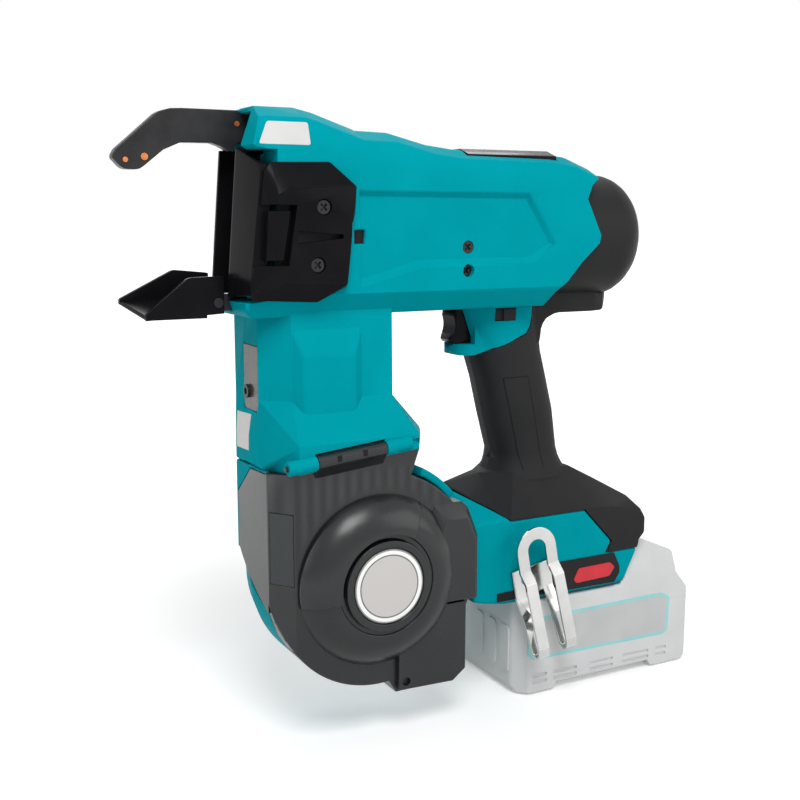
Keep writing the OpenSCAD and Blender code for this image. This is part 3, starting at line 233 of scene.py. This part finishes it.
finishSet = {
    "tealShell": {"dark": (0.0002, 0.290, 0.345), "light": (0.0003, 0.314, 0.372), "cloud": 34, "smooth": 0.36,
                  "rough": 0.46, "grain": 1500, "strength": 0.10, "depth": 0.0002, "specular": 0.004},
    "blackShell": {"dark": (0.013, 0.013, 0.014), "light": (0.018, 0.018, 0.019), "cloud": 40, "smooth": 0.42,
                   "rough": 0.54, "grain": 1700, "strength": 0.16, "depth": 0.0002, "specular": 0.12},
    "gripRubber": {"dark": (0.015, 0.015, 0.016), "light": (0.022, 0.022, 0.023), "cloud": 30, "smooth": 0.54,
                   "rough": 0.66, "grain": 1300, "strength": 0.22, "depth": 0.0003, "specular": 0.12},
    "glossBlack": {"dark": (0.005, 0.005, 0.006), "light": (0.008, 0.008, 0.009), "cloud": 50, "smooth": 0.16,
                   "rough": 0.26, "grain": 900, "strength": 0.03, "depth": 0.0002, "specular": 0.05},
    "coatedSteel": {"dark": (0.011, 0.011, 0.012), "light": (0.020, 0.020, 0.022), "cloud": 90, "smooth": 0.32,
                    "rough": 0.46, "grain": 1100, "strength": 0.10, "depth": 0.0002, "specular": 0.28},
    "smokedCover": {"dark": (0.009, 0.010, 0.011), "light": (0.013, 0.014, 0.015), "cloud": 26, "smooth": 0.24,
                    "rough": 0.32, "grain": 1200, "strength": 0.05, "depth": 0.0002, "specular": 0.42},
    "darkPart": {"dark": (0.030, 0.030, 0.032), "light": (0.045, 0.045, 0.048), "cloud": 60, "smooth": 0.40,
                 "rough": 0.55, "grain": 1400, "strength": 0.12, "depth": 0.0002},
    "buttonGrey": {"dark": (0.30, 0.31, 0.32), "light": (0.36, 0.37, 0.38), "cloud": 200, "smooth": 0.40,
                   "rough": 0.52, "grain": 1800, "strength": 0.08, "depth": 0.0002},
    "boardGreen": {"dark": (0.010, 0.060, 0.030), "light": (0.016, 0.085, 0.044), "cloud": 300, "smooth": 0.25,
                   "rough": 0.40, "grain": 900, "strength": 0.06, "depth": 0.0002},
    "palePlastic": {"dark": (0.62, 0.63, 0.63), "light": (0.67, 0.68, 0.68), "cloud": 36, "smooth": 0.42,
                    "rough": 0.55, "grain": 1500, "strength": 0.10, "depth": 0.0002, "specular": 0.15},
    "brightSteel": {"dark": (0.50, 0.50, 0.51), "light": (0.62, 0.62, 0.63), "cloud": 160, "smooth": 0.18,
                    "rough": 0.34, "grain": 2400, "strength": 0.08, "depth": 0.0001, "metal": 1.0,
                    "stretch": (0.05, 1, 1)},
    "castAlloy": {"dark": (0.40, 0.40, 0.41), "light": (0.52, 0.52, 0.53), "cloud": 120, "smooth": 0.40,
                  "rough": 0.58, "grain": 1300, "strength": 0.20, "depth": 0.0002, "metal": 1.0},
    "drawnWire": {"dark": (0.38, 0.37, 0.35), "light": (0.50, 0.49, 0.47), "cloud": 400, "smooth": 0.26,
                  "rough": 0.42, "grain": 2600, "strength": 0.10, "depth": 0.0001, "metal": 1.0},
    "brightPlate": {"dark": (0.50, 0.50, 0.49), "light": (0.59, 0.59, 0.58), "cloud": 70, "smooth": 0.10,
                    "rough": 0.22, "grain": 700, "strength": 0.03, "depth": 0.0002, "metal": 1.0},
    "copperRivet": {"dark": (0.56, 0.17, 0.05), "light": (0.72, 0.26, 0.09), "cloud": 300, "smooth": 0.28,
                    "rough": 0.44, "grain": 2200, "strength": 0.08, "depth": 0.0001, "metal": 0.6},
    "bareLabel": {"dark": (0.58, 0.58, 0.57), "light": (0.63, 0.63, 0.62), "cloud": 60, "smooth": 0.34,
                  "rough": 0.46, "grain": 1900, "strength": 0.05, "depth": 0.0001, "specular": 0.3},
    "redPlate": {"dark": (0.55, 0.016, 0.028), "light": (0.64, 0.024, 0.038), "cloud": 90, "smooth": 0.28,
                 "rough": 0.40, "grain": 1500, "strength": 0.05, "depth": 0.0001, "specular": 0.35},
    "paleFrame": {"dark": (0.28, 0.62, 0.63), "light": (0.33, 0.67, 0.68), "cloud": 60, "smooth": 0.36,
                  "rough": 0.48, "grain": 1900, "strength": 0.05, "depth": 0.0001, "specular": 0.3},
    "labelGround": {"dark": (0.50, 0.51, 0.51), "light": (0.55, 0.56, 0.56), "cloud": 60, "smooth": 0.36,
                    "rough": 0.48, "grain": 1900, "strength": 0.05, "depth": 0.0001, "specular": 0.3},
    # painted shade: the flat black of the plates that stand in for shade in slots and a hole
    "paintedShadeBlack": {"dark": (0.003, 0.003, 0.003), "light": (0.006, 0.006, 0.006), "cloud": 90, "smooth": 0.55,
                  "rough": 0.70, "grain": 1500, "strength": 0.05, "depth": 0.0001, "specular": 0.2},
}
finish = {name: moulded(name, cfg) for name, cfg in finishSet.items()}


clearSet = {
    "smokedClear": {"colour": (0.012, 0.020, 0.021, 1), "alpha": 0.88},
    "columnClear": {"colour": (0.10, 0.085, 0.078, 1), "alpha": 0.72},
}
hazeSet = {"haze": 120.0, "smooth": 0.12, "rough": 0.24, "grain": 500.0, "strength": 0.05, "depth": 0.0002}


def clearPlastic(name, cfg):
    material, tree, shader = startMaterial(name, {})
    shader.inputs["Base Color"].default_value = cfg["colour"]
    shader.inputs["Alpha"].default_value = cfg["alpha"]
    haze = noiseOn(tree, hazeSet["haze"])
    tree.links.new(spread(tree, haze, hazeSet["smooth"], hazeSet["rough"]), shader.inputs["Roughness"])
    bumpFrom(tree, shader, noiseOn(tree, hazeSet["grain"]), hazeSet["strength"], hazeSet["depth"])
    return material


for name, cfg in clearSet.items():
    finish[name] = clearPlastic(name, cfg)

# Faint upright ribs that show through the smoked cover above its dome, drawn as painted light and shade:
# stripes lighter and darker than the cover
ribLightShadeSet = {"pitch": 0.007, "foot": (0.084, 0.104), "head": (0.151, 0.147), "dome": (0.047, 0.053),
          "rear": (-0.116, -0.126), "low": 0.45, "high": 2.0}


def fadeOver(tree, value, start, end):
    fade = tree.nodes.new("ShaderNodeMapRange")
    fade.interpolation_type = "SMOOTHSTEP"
    fade.inputs["From Min"].default_value = start
    fade.inputs["From Max"].default_value = end
    tree.links.new(value, fade.inputs["Value"])
    return fade.outputs["Result"]


def shadeWithin(tree, shader, area, amount):
    plain = shader.inputs["Base Color"].links[0].from_socket
    shaded = tree.nodes.new("ShaderNodeVectorMath")
    shaded.operation = "SCALE"
    tree.links.new(plain, shaded.inputs[0])
    if isinstance(amount, float):
        shaded.inputs["Scale"].default_value = amount
    else:
        tree.links.new(amount, shaded.inputs["Scale"])
    mixed = tree.nodes.new("ShaderNodeMix")
    mixed.data_type = "RGBA"
    tree.links.new(area, mixed.inputs["Factor"])
    tree.links.new(plain, mixed.inputs["A"])
    tree.links.new(shaded.outputs["Vector"], mixed.inputs["B"])
    tree.links.new(mixed.outputs["Result"], shader.inputs["Base Color"])


def fromReelAxis(tree):
    place = tree.nodes.new("ShaderNodeTexCoord")
    flatten = tree.nodes.new("ShaderNodeVectorMath")
    flatten.operation = "MULTIPLY"
    flatten.inputs[1].default_value = (1, 0, 1)
    tree.links.new(place.outputs["Object"], flatten.inputs[0])
    away = tree.nodes.new("ShaderNodeVectorMath")
    away.operation = "DISTANCE"
    away.inputs[1].default_value = (reelX, 0, reelZ)
    tree.links.new(flatten.outputs["Vector"], away.inputs[0])
    return away.outputs["Value"]


def paintRibLightShade(material, cfg):
    tree = material.node_tree
    shader = tree.nodes["Principled BSDF"]
    place = tree.nodes.new("ShaderNodeTexCoord")
    parts = tree.nodes.new("ShaderNodeSeparateXYZ")
    tree.links.new(place.outputs["Object"], parts.inputs["Vector"])
    turns = tree.nodes.new("ShaderNodeMath")
    turns.operation = "MULTIPLY"
    turns.inputs[1].default_value = 2 * math.pi / cfg["pitch"]
    tree.links.new(parts.outputs["X"], turns.inputs[0])
    wave = tree.nodes.new("ShaderNodeMath")
    wave.operation = "SINE"
    tree.links.new(turns.outputs[0], wave.inputs[0])
    # painted light and shade: the wave scales the cover's colour darker and lighter across each rib
    ribLightShade = tree.nodes.new("ShaderNodeMapRange")
    ribLightShade.inputs["From Min"].default_value = -1.0
    ribLightShade.inputs["To Min"].default_value = cfg["low"]
    ribLightShade.inputs["To Max"].default_value = cfg["high"]
    tree.links.new(wave.outputs[0], ribLightShade.inputs["Value"])
    area = fadeOver(tree, fromReelAxis(tree), *cfg["dome"])
    for axis, ends in (("Z", "foot"), ("Z", "head"), ("X", "rear")):
        within = tree.nodes.new("ShaderNodeMath")
        within.operation = "MULTIPLY"
        tree.links.new(area, within.inputs[0])
        tree.links.new(fadeOver(tree, parts.outputs[axis], *cfg[ends]), within.inputs[1])
        area = within.outputs[0]
    shadeWithin(tree, shader, area, ribLightShade.outputs["Result"])


paintRibLightShade(finish["smokedCover"], ribLightShadeSet)

# Painted shade in the grooves round the panel on each side of the grip: dark lines given as X and Z of their
# ends
grooveShadeSet = {"front": (-0.0634, 0.1860), "back": (-0.0475, 0.1865), "frontFoot": (-0.0502, 0.1315),
            "backFoot": (-0.0364, 0.1315), "half": 0.0005, "core": 0.4, "shade": 0.30}


def grooveShadeMask(tree, place, start, end, cfg):
    a, b = [Vector((x, 0, z)) for x, z in (start, end)]
    along = (b - a).normalized()
    off = tree.nodes.new("ShaderNodeVectorMath")
    off.operation = "SUBTRACT"
    off.inputs[1].default_value = a
    tree.links.new(place, off.inputs[0])
    lengths = []
    for way in (Vector((along.z, 0, -along.x)), along):
        dot = tree.nodes.new("ShaderNodeVectorMath")
        dot.operation = "DOT_PRODUCT"
        dot.inputs[1].default_value = way
        tree.links.new(off.outputs["Vector"], dot.inputs[0])
        lengths.append(dot.outputs["Value"])
    aside = tree.nodes.new("ShaderNodeMath")
    aside.operation = "ABSOLUTE"
    tree.links.new(lengths[0], aside.inputs[0])
    inside = tree.nodes.new("ShaderNodeMath")
    inside.operation = "COMPARE"
    inside.inputs[1].default_value = (b - a).length / 2
    inside.inputs[2].default_value = (b - a).length / 2
    tree.links.new(lengths[1], inside.inputs[0])
    both = tree.nodes.new("ShaderNodeMath")
    both.operation = "MULTIPLY"
    edge = fadeOver(tree, aside.outputs[0], cfg["half"], cfg["half"] * cfg["core"])
    tree.links.new(edge, both.inputs[0])
    tree.links.new(inside.outputs[0], both.inputs[1])
    return both.outputs[0]


def paintGrooveShade(material, cfg):
    tree = material.node_tree
    place = tree.nodes.new("ShaderNodeTexCoord").outputs["Object"]
    for start, end in (("front", "back"), ("front", "frontFoot"), ("back", "backFoot")):
        mask = grooveShadeMask(tree, place, cfg[start], cfg[end], cfg)
        # painted shade: darkens the grip's colour along each groove
        shadeWithin(tree, tree.nodes["Principled BSDF"], mask, cfg["shade"])


paintGrooveShade(finish["gripRubber"], grooveShadeSet)

# Disc in the cover's hub, bands of colour from its middle outwards
discSet = {"reach": 0.021, "silver": (0.55, 0.53, 0.51), "line": (0.16, 0.155, 0.15),
           "ring": (0.86, 0.86, 0.85), "edge": (0.30, 0.295, 0.29), "rise": (0.0163, 0.0170, 0.0190),
           "metal": 0.35, "brush": 900.0, "stretch": (0.08, 1, 1), "smooth": 0.30, "rough": 0.46,
           "strength": 0.06, "depth": 0.0001}


def ringedDisc(name, cfg):
    material, tree, shader = startMaterial(name, cfg)
    scaled = tree.nodes.new("ShaderNodeMapRange")
    scaled.inputs["From Max"].default_value = cfg["reach"]
    tree.links.new(fromReelAxis(tree), scaled.inputs["Value"])
    bands = tree.nodes.new("ShaderNodeValToRGB")
    bands.color_ramp.interpolation = "CONSTANT"
    bands.color_ramp.elements[0].color = (*cfg["silver"], 1)
    bands.color_ramp.elements[1].position = cfg["rise"][0] / cfg["reach"]
    bands.color_ramp.elements[1].color = (*cfg["line"], 1)
    for at, colour in ((cfg["rise"][1], cfg["ring"]), (cfg["rise"][2], cfg["edge"])):
        mark = bands.color_ramp.elements.new(at / cfg["reach"])
        mark.color = (*colour, 1)
    tree.links.new(scaled.outputs["Result"], bands.inputs["Fac"])
    tree.links.new(bands.outputs["Color"], shader.inputs["Base Color"])
    brushed = noiseOn(tree, cfg["brush"], 2.0, cfg["stretch"])
    tree.links.new(spread(tree, brushed, cfg["smooth"], cfg["rough"]), shader.inputs["Roughness"])
    bumpFrom(tree, shader, brushed, cfg["strength"], cfg["depth"])
    return material


finish["discFace"] = ringedDisc("discFace", discSet)
print("materials ready:", len(finish))

# Finish of each CAD node but the winding, with its rounding: width in mm, steps and, on plates, corner in mm
softEdge = {
    "left_housing": ("tealShell", 1.8, 4),
    "right_housing": ("tealShell", 1.8, 4),
    "reel_case": ("tealShell", 1.6, 4),
    "motor_cover": ("blackShell", 1.2, 3),
    "left_grip": ("gripRubber", 2.0, 4),
    "right_grip": ("gripRubber", 2.0, 4),
    "left_base_band": ("blackShell", 0.5, 2),
    "right_base_band": ("blackShell", 0.5, 2),
    "left_side_cover": ("glossBlack", 0.8, 3),
    "right_side_cover": ("glossBlack", 0.8, 3),
    "side_cover_screws": ("coatedSteel", 0.25, 2),
    "body_screws": ("coatedSteel", 0.25, 2),
    "upper_hook": ("coatedSteel", 0.6, 4, 6.0),
    "hook_pins": ("copperRivet", 0.2, 2),
    "lower_guide": ("glossBlack", 0.4, 3, 1.6),
    "guide_lug": ("coatedSteel", 0.4, 2),
    "guide_pin": ("coatedSteel", 0.25, 2),
    "left_contact_plate": ("glossBlack", 0.4, 2),
    "right_contact_plate": ("glossBlack", 0.4, 2),
    "gearbox": ("castAlloy", 0.5, 2),
    "twist_motor": ("darkPart", 0.5, 2),
    "spindle_bearing": ("brightSteel", 0.3, 2),
    "twist_spindle": ("brightSteel", 0.3, 2),
    "twist_jaws": ("brightSteel", 0.4, 2),
    "drive_wheel": ("brightSteel", 0.2, 2),
    "idler_wheel": ("brightSteel", 0.2, 2),
    "feed_bracket": ("castAlloy", 0.4, 2),
    "feed_motor": ("darkPart", 0.5, 2),
    "feed_wire": ("drawnWire", 0.0, 1),
    "wire_window": ("columnClear", 0.3, 2),
    "window_screw": ("coatedSteel", 0.2, 2),
    "reel_hub": ("blackShell", 0.4, 2),
    "wire_reel": ("blackShell", 0.5, 2),
    "reel_cover": ("smokedCover", 1.2, 4),
    "cover_window": ("smokedClear", 0.2, 2),
    "cover_disc": ("discFace", 0.25, 2),
    "latch_screw": ("coatedSteel", 0.2, 2),
    "hinge_pin": ("coatedSteel", 0.3, 2),
    "trigger": ("glossBlack", 1.2, 4),
    "trigger_switch": ("darkPart", 0.4, 2),
    "lock_button": ("blackShell", 0.5, 2),
    "control_panel": ("glossBlack", 0.3, 2),
    "power_button": ("buttonGrey", 0.3, 2),
    "strength_button": ("buttonGrey", 0.3, 2),
    "control_board": ("boardGreen", 0.2, 2),
    "terminal_block": ("darkPart", 0.3, 2),
    "belt_hook": ("brightPlate", 0.35, 2),
    "belt_hook_screw": ("brightSteel", 0.2, 2),
    "battery_case": ("palePlastic", 1.8, 4),
    "battery_top": ("palePlastic", 1.6, 4),
    "battery_cells": ("castAlloy", 0.3, 2),
    "release_button": ("palePlastic", 0.7, 3),
}
softSet = {"merge": 1e-6, "flat": 0.1, "crease": 24.0, "most": 1.0, "marks": (0.1, 0.5, 0.9), "room": 0.40,
           "goesOn": 0.8, "bend": 0.6, "thin": 0.01, "across": 0.99, "parting": 0.00025, "seam": 0.00015,
           "stack": 0.042, "least": 0.00004, "speck": 1e-10, "fold": 0.3, "turns": 6, "reach": 1.6}


def edgeRoom(edge, creased, cfg):
    room = cfg["most"]
    start, end = edge.verts[0].co, edge.verts[1].co
    along = (end - start).normalized()
    marks = [start.lerp(end, t) for t in cfg["marks"]]
    for face in edge.link_faces:
        for near in face.edges:
            if near is edge:
                continue
            a, b = near.verts[0].co, near.verts[1].co
            length = (b - a).length
            shared = near.verts[0] in edge.verts or near.verts[1] in edge.verts
            if not shared:
                for mark in marks:
                    share = intersect_point_line(mark, a, b)[1]
                    at = a.lerp(b, min(max(share, 0.0), 1.0))
                    room = min(room, cfg["room"] * (mark - at).length)
                continue
            cosine = min(abs(along.dot((b - a) / length)), 1.0) if length > 0 else 1.0
            sine = math.sqrt(1.0 - cosine * cosine)
            if near in creased and cosine > cfg["goesOn"]:
                half = max(math.acos(cosine) / 2, cfg["thin"])  # the same rim going on
                room = min(room, cfg["bend"] * length / (2 * math.tan(half)))
            else:
                room = min(room, cfg["room"] * length * sine)
    return room


def weighEdges(bm, width, corner, cfg):
    weight = bm.edges.layers.float.new("bevel_weight_edge")
    least = math.radians(cfg["crease"])
    creased = {e for e in bm.edges if len(e.link_faces) == 2 and e.calc_face_angle(0.0) > least}
    for edge in creased:
        run = edge.verts[1].co - edge.verts[0].co
        cornered = corner > 0 and abs(run.y) > cfg["across"] * run.length  # across a plate
        room = min(corner if cornered else width, edgeRoom(edge, creased, cfg))
        if not (edge.is_convex or cornered):
            room = 0.0
        if room < cfg["least"]:
            edge.smooth = False  # an inner corner or a sliver stays sharp
            continue
        parted = max(abs(v.co.y) for v in edge.verts) < cfg["parting"]
        stacked = max(abs(v.co.z - cfg["stack"]) for v in edge.verts) < cfg["parting"]
        if parted or stacked:
            room = min(room, cfg["seam"])  # halves part along a fine line
        edge[weight] = room / max(width, corner)


def foldedSpots(piece, cfg):
    shown = piece.evaluated_get(bpy.context.evaluated_depsgraph_get())
    mesh = shown.to_mesh()
    mesh.calc_loop_triangles()
    spots = []
    for tri in mesh.loop_triangles:
        if tri.area > cfg["speck"] and tri.normal.dot(mesh.polygons[tri.polygon_index].normal) < cfg["fold"]:
            spots += [mesh.vertices[v].co.copy() for v in tri.vertices]
    shown.to_mesh_clear()
    return spots


def sharpenNear(mesh, spots, reach):
    tree = KDTree(len(spots))
    for at, spot in enumerate(spots):
        tree.insert(spot, at)
    tree.balance()
    bm = bmesh.new()
    bm.from_mesh(mesh)
    weight = bm.edges.layers.float["bevel_weight_edge"]
    for edge in bm.edges:
        if edge[weight] > 0 and min(tree.find(v.co)[2] for v in edge.verts) < reach:
            edge[weight] = 0.0
            edge.smooth = False
    bm.to_mesh(mesh)
    bm.free()


def soften(node, cfg, finishName, widthMm, segments, cornerMm=0.0):
    mesh = nodes[node].data.copy()
    mesh.name = node + "Soft"
    piece = bpy.data.objects.new(node + "Soft", mesh)
    scene.collection.objects.link(piece)
    bm = bmesh.new()
    bm.from_mesh(mesh)
    bmesh.ops.remove_doubles(bm, verts=bm.verts, dist=cfg["merge"])
    bmesh.ops.dissolve_limit(bm, angle_limit=math.radians(cfg["flat"]), verts=bm.verts, edges=bm.edges)
    for face in bm.faces:
        face.smooth = True
    weighEdges(bm, widthMm / 1000, cornerMm / 1000, cfg)
    bm.to_mesh(mesh)
    bm.free()
    if "custom_normal" in mesh.attributes:
        mesh.attributes.remove(mesh.attributes["custom_normal"])
    mesh.materials.clear()
    mesh.materials.append(finish[finishName])
    edge = piece.modifiers.new("softEdge", "BEVEL")
    edge.width = max(widthMm, cornerMm) / 1000
    edge.segments = segments
    edge.limit_method = "WEIGHT"
    edge.use_clamp_overlap = False
    for turn in range(cfg["turns"]):
        spots = foldedSpots(piece, cfg)
        if not spots:
            break
        sharpenNear(mesh, spots, cfg["reach"] * widthMm / 1000)
    flat = piece.modifiers.new("flatFaces", "WEIGHTED_NORMAL")
    flat.keep_sharp = True
    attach(piece, bodyOf[node])
    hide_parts(node)


for node, edges in softEdge.items():
    if edges[1] > 0:
        soften(node, softSet, *edges)
    else:
        nodes[node].data.materials.clear()
        nodes[node].data.materials.append(finish[edges[0]])
print("edges softened")


# Coiled wire on the reel
coilSet = {"radius": 0.0422, "half": 0.0197, "wire": 0.0008, "slack": 1.02, "steps": 60, "sides": 6,
           "coreSides": 64}


def addCoil(cfg):
    middle = (reelX, reelY, reelZ)
    start = (reelX + cfg["radius"], 0, 0)
    turns = int(cfg["half"] / (cfg["slack"] * cfg["wire"]))
    pitch = 2 * cfg["half"] / turns
    bm = bmesh.new()
    ring = bmesh.ops.create_circle(bm, segments=cfg["sides"], radius=cfg["wire"], cap_ends=False)["verts"]
    bmesh.ops.translate(bm, verts=ring, vec=start)
    bmesh.ops.rotate(bm, verts=ring, cent=start, matrix=Matrix.Rotation(math.pi / 2, 3, "Z"))
    bmesh.ops.translate(bm, verts=ring, vec=(0, reelY - cfg["half"], reelZ))
    bmesh.ops.spin(bm, geom=ring + bm.edges[:], cent=middle, axis=(0, 1, 0), angle=2 * math.pi * turns,
                   steps=cfg["steps"] * turns, dvec=(0, pitch / cfg["steps"], 0))
    core = bmesh.ops.create_cone(bm, cap_ends=False, segments=cfg["coreSides"], radius1=cfg["radius"],
                                 radius2=cfg["radius"], depth=2 * cfg["half"])["verts"]
    bmesh.ops.rotate(bm, verts=core, cent=(0, 0, 0), matrix=Matrix.Rotation(math.pi / 2, 3, "X"))
    bmesh.ops.translate(bm, verts=core, vec=middle)
    bmesh.ops.recalc_face_normals(bm, faces=bm.faces)
    mesh = bpy.data.meshes.new("coiledWire")
    bm.to_mesh(mesh)
    bm.free()
    mesh.shade_smooth()
    mesh.materials.append(finish["drawnWire"])
    coil = bpy.data.objects.new("coiledWire", mesh)
    scene.collection.objects.link(coil)
    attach(coil, bodyOf["wire_winding"])
    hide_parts("wire_winding")


addCoil(coilSet)
print("wire wound")


# Bare plates and small trim in mm, each on the node that carries it; the flat black plates are painted shade
# in slots and a square hole
plateSteps = 5


def thinPlate(name, cfg):
    bm = bmesh.new()
    rim = [bm.verts.new([v / 1000 for v in corner]) for corner in cfg["corners"]]
    face = bmesh.ops.contextual_create(bm, geom=rim)["faces"]
    out = Vector(cfg["out"]).normalized()
    bmesh.ops.translate(bm, verts=rim, vec=out * (-cfg["sunk"] / 1000))
    grown = bmesh.ops.extrude_face_region(bm, geom=face)["geom"]
    lifted = [v for v in grown if isinstance(v, bmesh.types.BMVert)]
    bmesh.ops.translate(bm, verts=lifted, vec=out * ((cfg["sunk"] + cfg["proud"]) / 1000))
    bmesh.ops.recalc_face_normals(bm, faces=bm.faces)
    upright = [e for e in bm.edges if len([v for v in e.verts if v in lifted]) == 1]
    if cfg["corner"] > 0:
        bmesh.ops.bevel(bm, geom=upright, offset=cfg["corner"] / 1000, offset_type="OFFSET", affect="EDGES",
                        segments=plateSteps, profile=0.5, material=-1)
    mesh = bpy.data.meshes.new(name)
    bm.to_mesh(mesh)
    bm.free()
    mesh.materials.append(finish[cfg["finish"]])
    plate = bpy.data.objects.new(name, mesh)
    scene.collection.objects.link(plate)
    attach(plate, bodyOf[cfg["on"]])


plateSet = {
    "headLabel": {"corners": [(-212.4, -32.8, 323.9), (-190.9, -32.8, 323.9), (-191.2, -37.1, 312.8),
                              (-218.2, -37.1, 312.8)],
                  "out": (0, -15.5, 6), "sunk": 0.2, "proud": 0.15, "corner": 1.2, "finish": "bareLabel",
                  "on": "control_panel"},
    "redPill": {"corners": [(-27.8, -40.6, 66.6), (-24.2, -40.6, 73.2), (-1.2, -40.6, 73.6),
                            (2.4, -40.6, 70.2), (-1.4, -40.6, 65.2), (-25.6, -40.6, 64.4)],
                "out": (0, -1, 0), "sunk": 0.2, "proud": 0.25, "corner": 1.2, "finish": "redPlate",
                "on": "left_base_band"},
    "columnLabel": {"corners": [(-214.73, 11.5, 175.4), (-214.59, -8.9, 176.5), (-216, -8.3, 165.5),
                                (-216, 9.9, 165.5)],
                    "out": (-0.992, 0, 0.127), "sunk": 0.2, "proud": 0.12, "corner": 0,
                    "finish": "bareLabel", "on": "control_panel"},
    "columnLabelFoot": {"corners": [(-216, 9.9, 165.5), (-216, -8.3, 165.5), (-216, -7.8, 157.2),
                                    (-216, 9.5, 156.4)],
                        "out": (-1, 0, 0), "sunk": 0.2, "proud": 0.12, "corner": 0,
                        "finish": "bareLabel", "on": "control_panel"},
    # Painted shade: a dark block inside the square hole stands in for the shade in it
    "squareHoleShade": {"corners": [(-167.9, -30, 264.6), (-167.9, -30, 271.4), (-161.1, -30, 271.4),
                             (-161.1, -30, 264.6)],
                 "out": (0, -1, 0), "sunk": 0.2, "proud": 3.6, "corner": 0.6, "finish": "paintedShadeBlack",
                 "on": "left_side_cover"},
    # Painted shade: dark plates stand in for the shade inside the two slots on the cover's knuckle
    "nearSlotShade": {"corners": [(-185.8, -53.6, 156.6), (-185.8, -53.6, 159.8), (-183.4, -53.6, 160),
                             (-183.4, -53.6, 156.8)],
                 "out": (0, -0.99, 0.13), "sunk": 0.6, "proud": 0.12, "corner": 0.3,
                 "finish": "paintedShadeBlack", "on": "reel_cover"},
    "farSlotShade": {"corners": [(-171.4, -53.6, 158.1), (-171.4, -53.6, 161.3), (-169, -53.6, 161.5),
                                (-169, -53.6, 158.3)],
                    "out": (0, -0.99, 0.13), "sunk": 0.6, "proud": 0.12, "corner": 0.3,
                    "finish": "paintedShadeBlack", "on": "reel_cover"},
    # Painted shade: a dark plate on the slot's floor stands in for the shade inside the slot
    "slotFloorShade": {"corners": [(-201.3, -40, 265.2), (-201.3, -40, 271.3), (-177.2, -40, 269.4),
                              (-177.2, -40, 267.6)],
                  "out": (0, -1, 0), "sunk": 0.2, "proud": 0.1, "corner": 0, "finish": "paintedShadeBlack",
                  "on": "left_side_cover"},
    "labelFrame": {"corners": [(-57.5, -38.5, 46.9), (41, -38.5, 47.2), (48.4, -38.5, 43.7),
                               (47.7, -38.5, 21.7), (43.5, -38.5, 19.6), (-54, -38.5, 21),
                               (-57.8, -38.5, 24)],
                   "out": (0, -1, 0), "sunk": 0.2, "proud": 0.12, "corner": 1.5, "finish": "paleFrame",
                   "on": "battery_case"},
    "labelField": {"corners": [(-55.5, -38.5, 44.9), (40.4, -38.5, 45.2), (46.4, -38.5, 42.4),
                               (45.7, -38.5, 22.8), (42.9, -38.5, 21.6), (-53.2, -38.5, 23),
                               (-55.7, -38.5, 25)],
                   "out": (0, -1, 0), "sunk": 0.2, "proud": 0.2, "corner": 1.2, "finish": "labelGround",
                   "on": "battery_case"},
}
for name, cfg in plateSet.items():
    thinPlate(name, cfg)
print("plates set")

# Broad ribs down the front of the battery
frontRib = {"front": -65.0, "first": 3.0, "pitch": 14.0, "count": 3, "width": 9.0, "foot": 12.0, "top": 40.5,
            "plate": {"out": (-1, 0, 0), "sunk": 0.4, "proud": 0.9, "corner": 3.0, "finish": "palePlastic",
                      "on": "battery_case"}}


def addFrontRibs(cfg):
    for i in range(cfg["count"]):
        middle = cfg["first"] - i * cfg["pitch"]
        right, left = middle + cfg["width"] / 2, middle - cfg["width"] / 2
        outline = ((right, cfg["foot"]), (right, cfg["top"]), (left, cfg["top"]), (left, cfg["foot"]))
        corners = [(cfg["front"], y, z) for y, z in outline]
        thinPlate("batteryRib%d" % (i + 1), {"corners": corners, **cfg["plate"]})


addFrontRibs(frontRib)
print("battery ribs added")
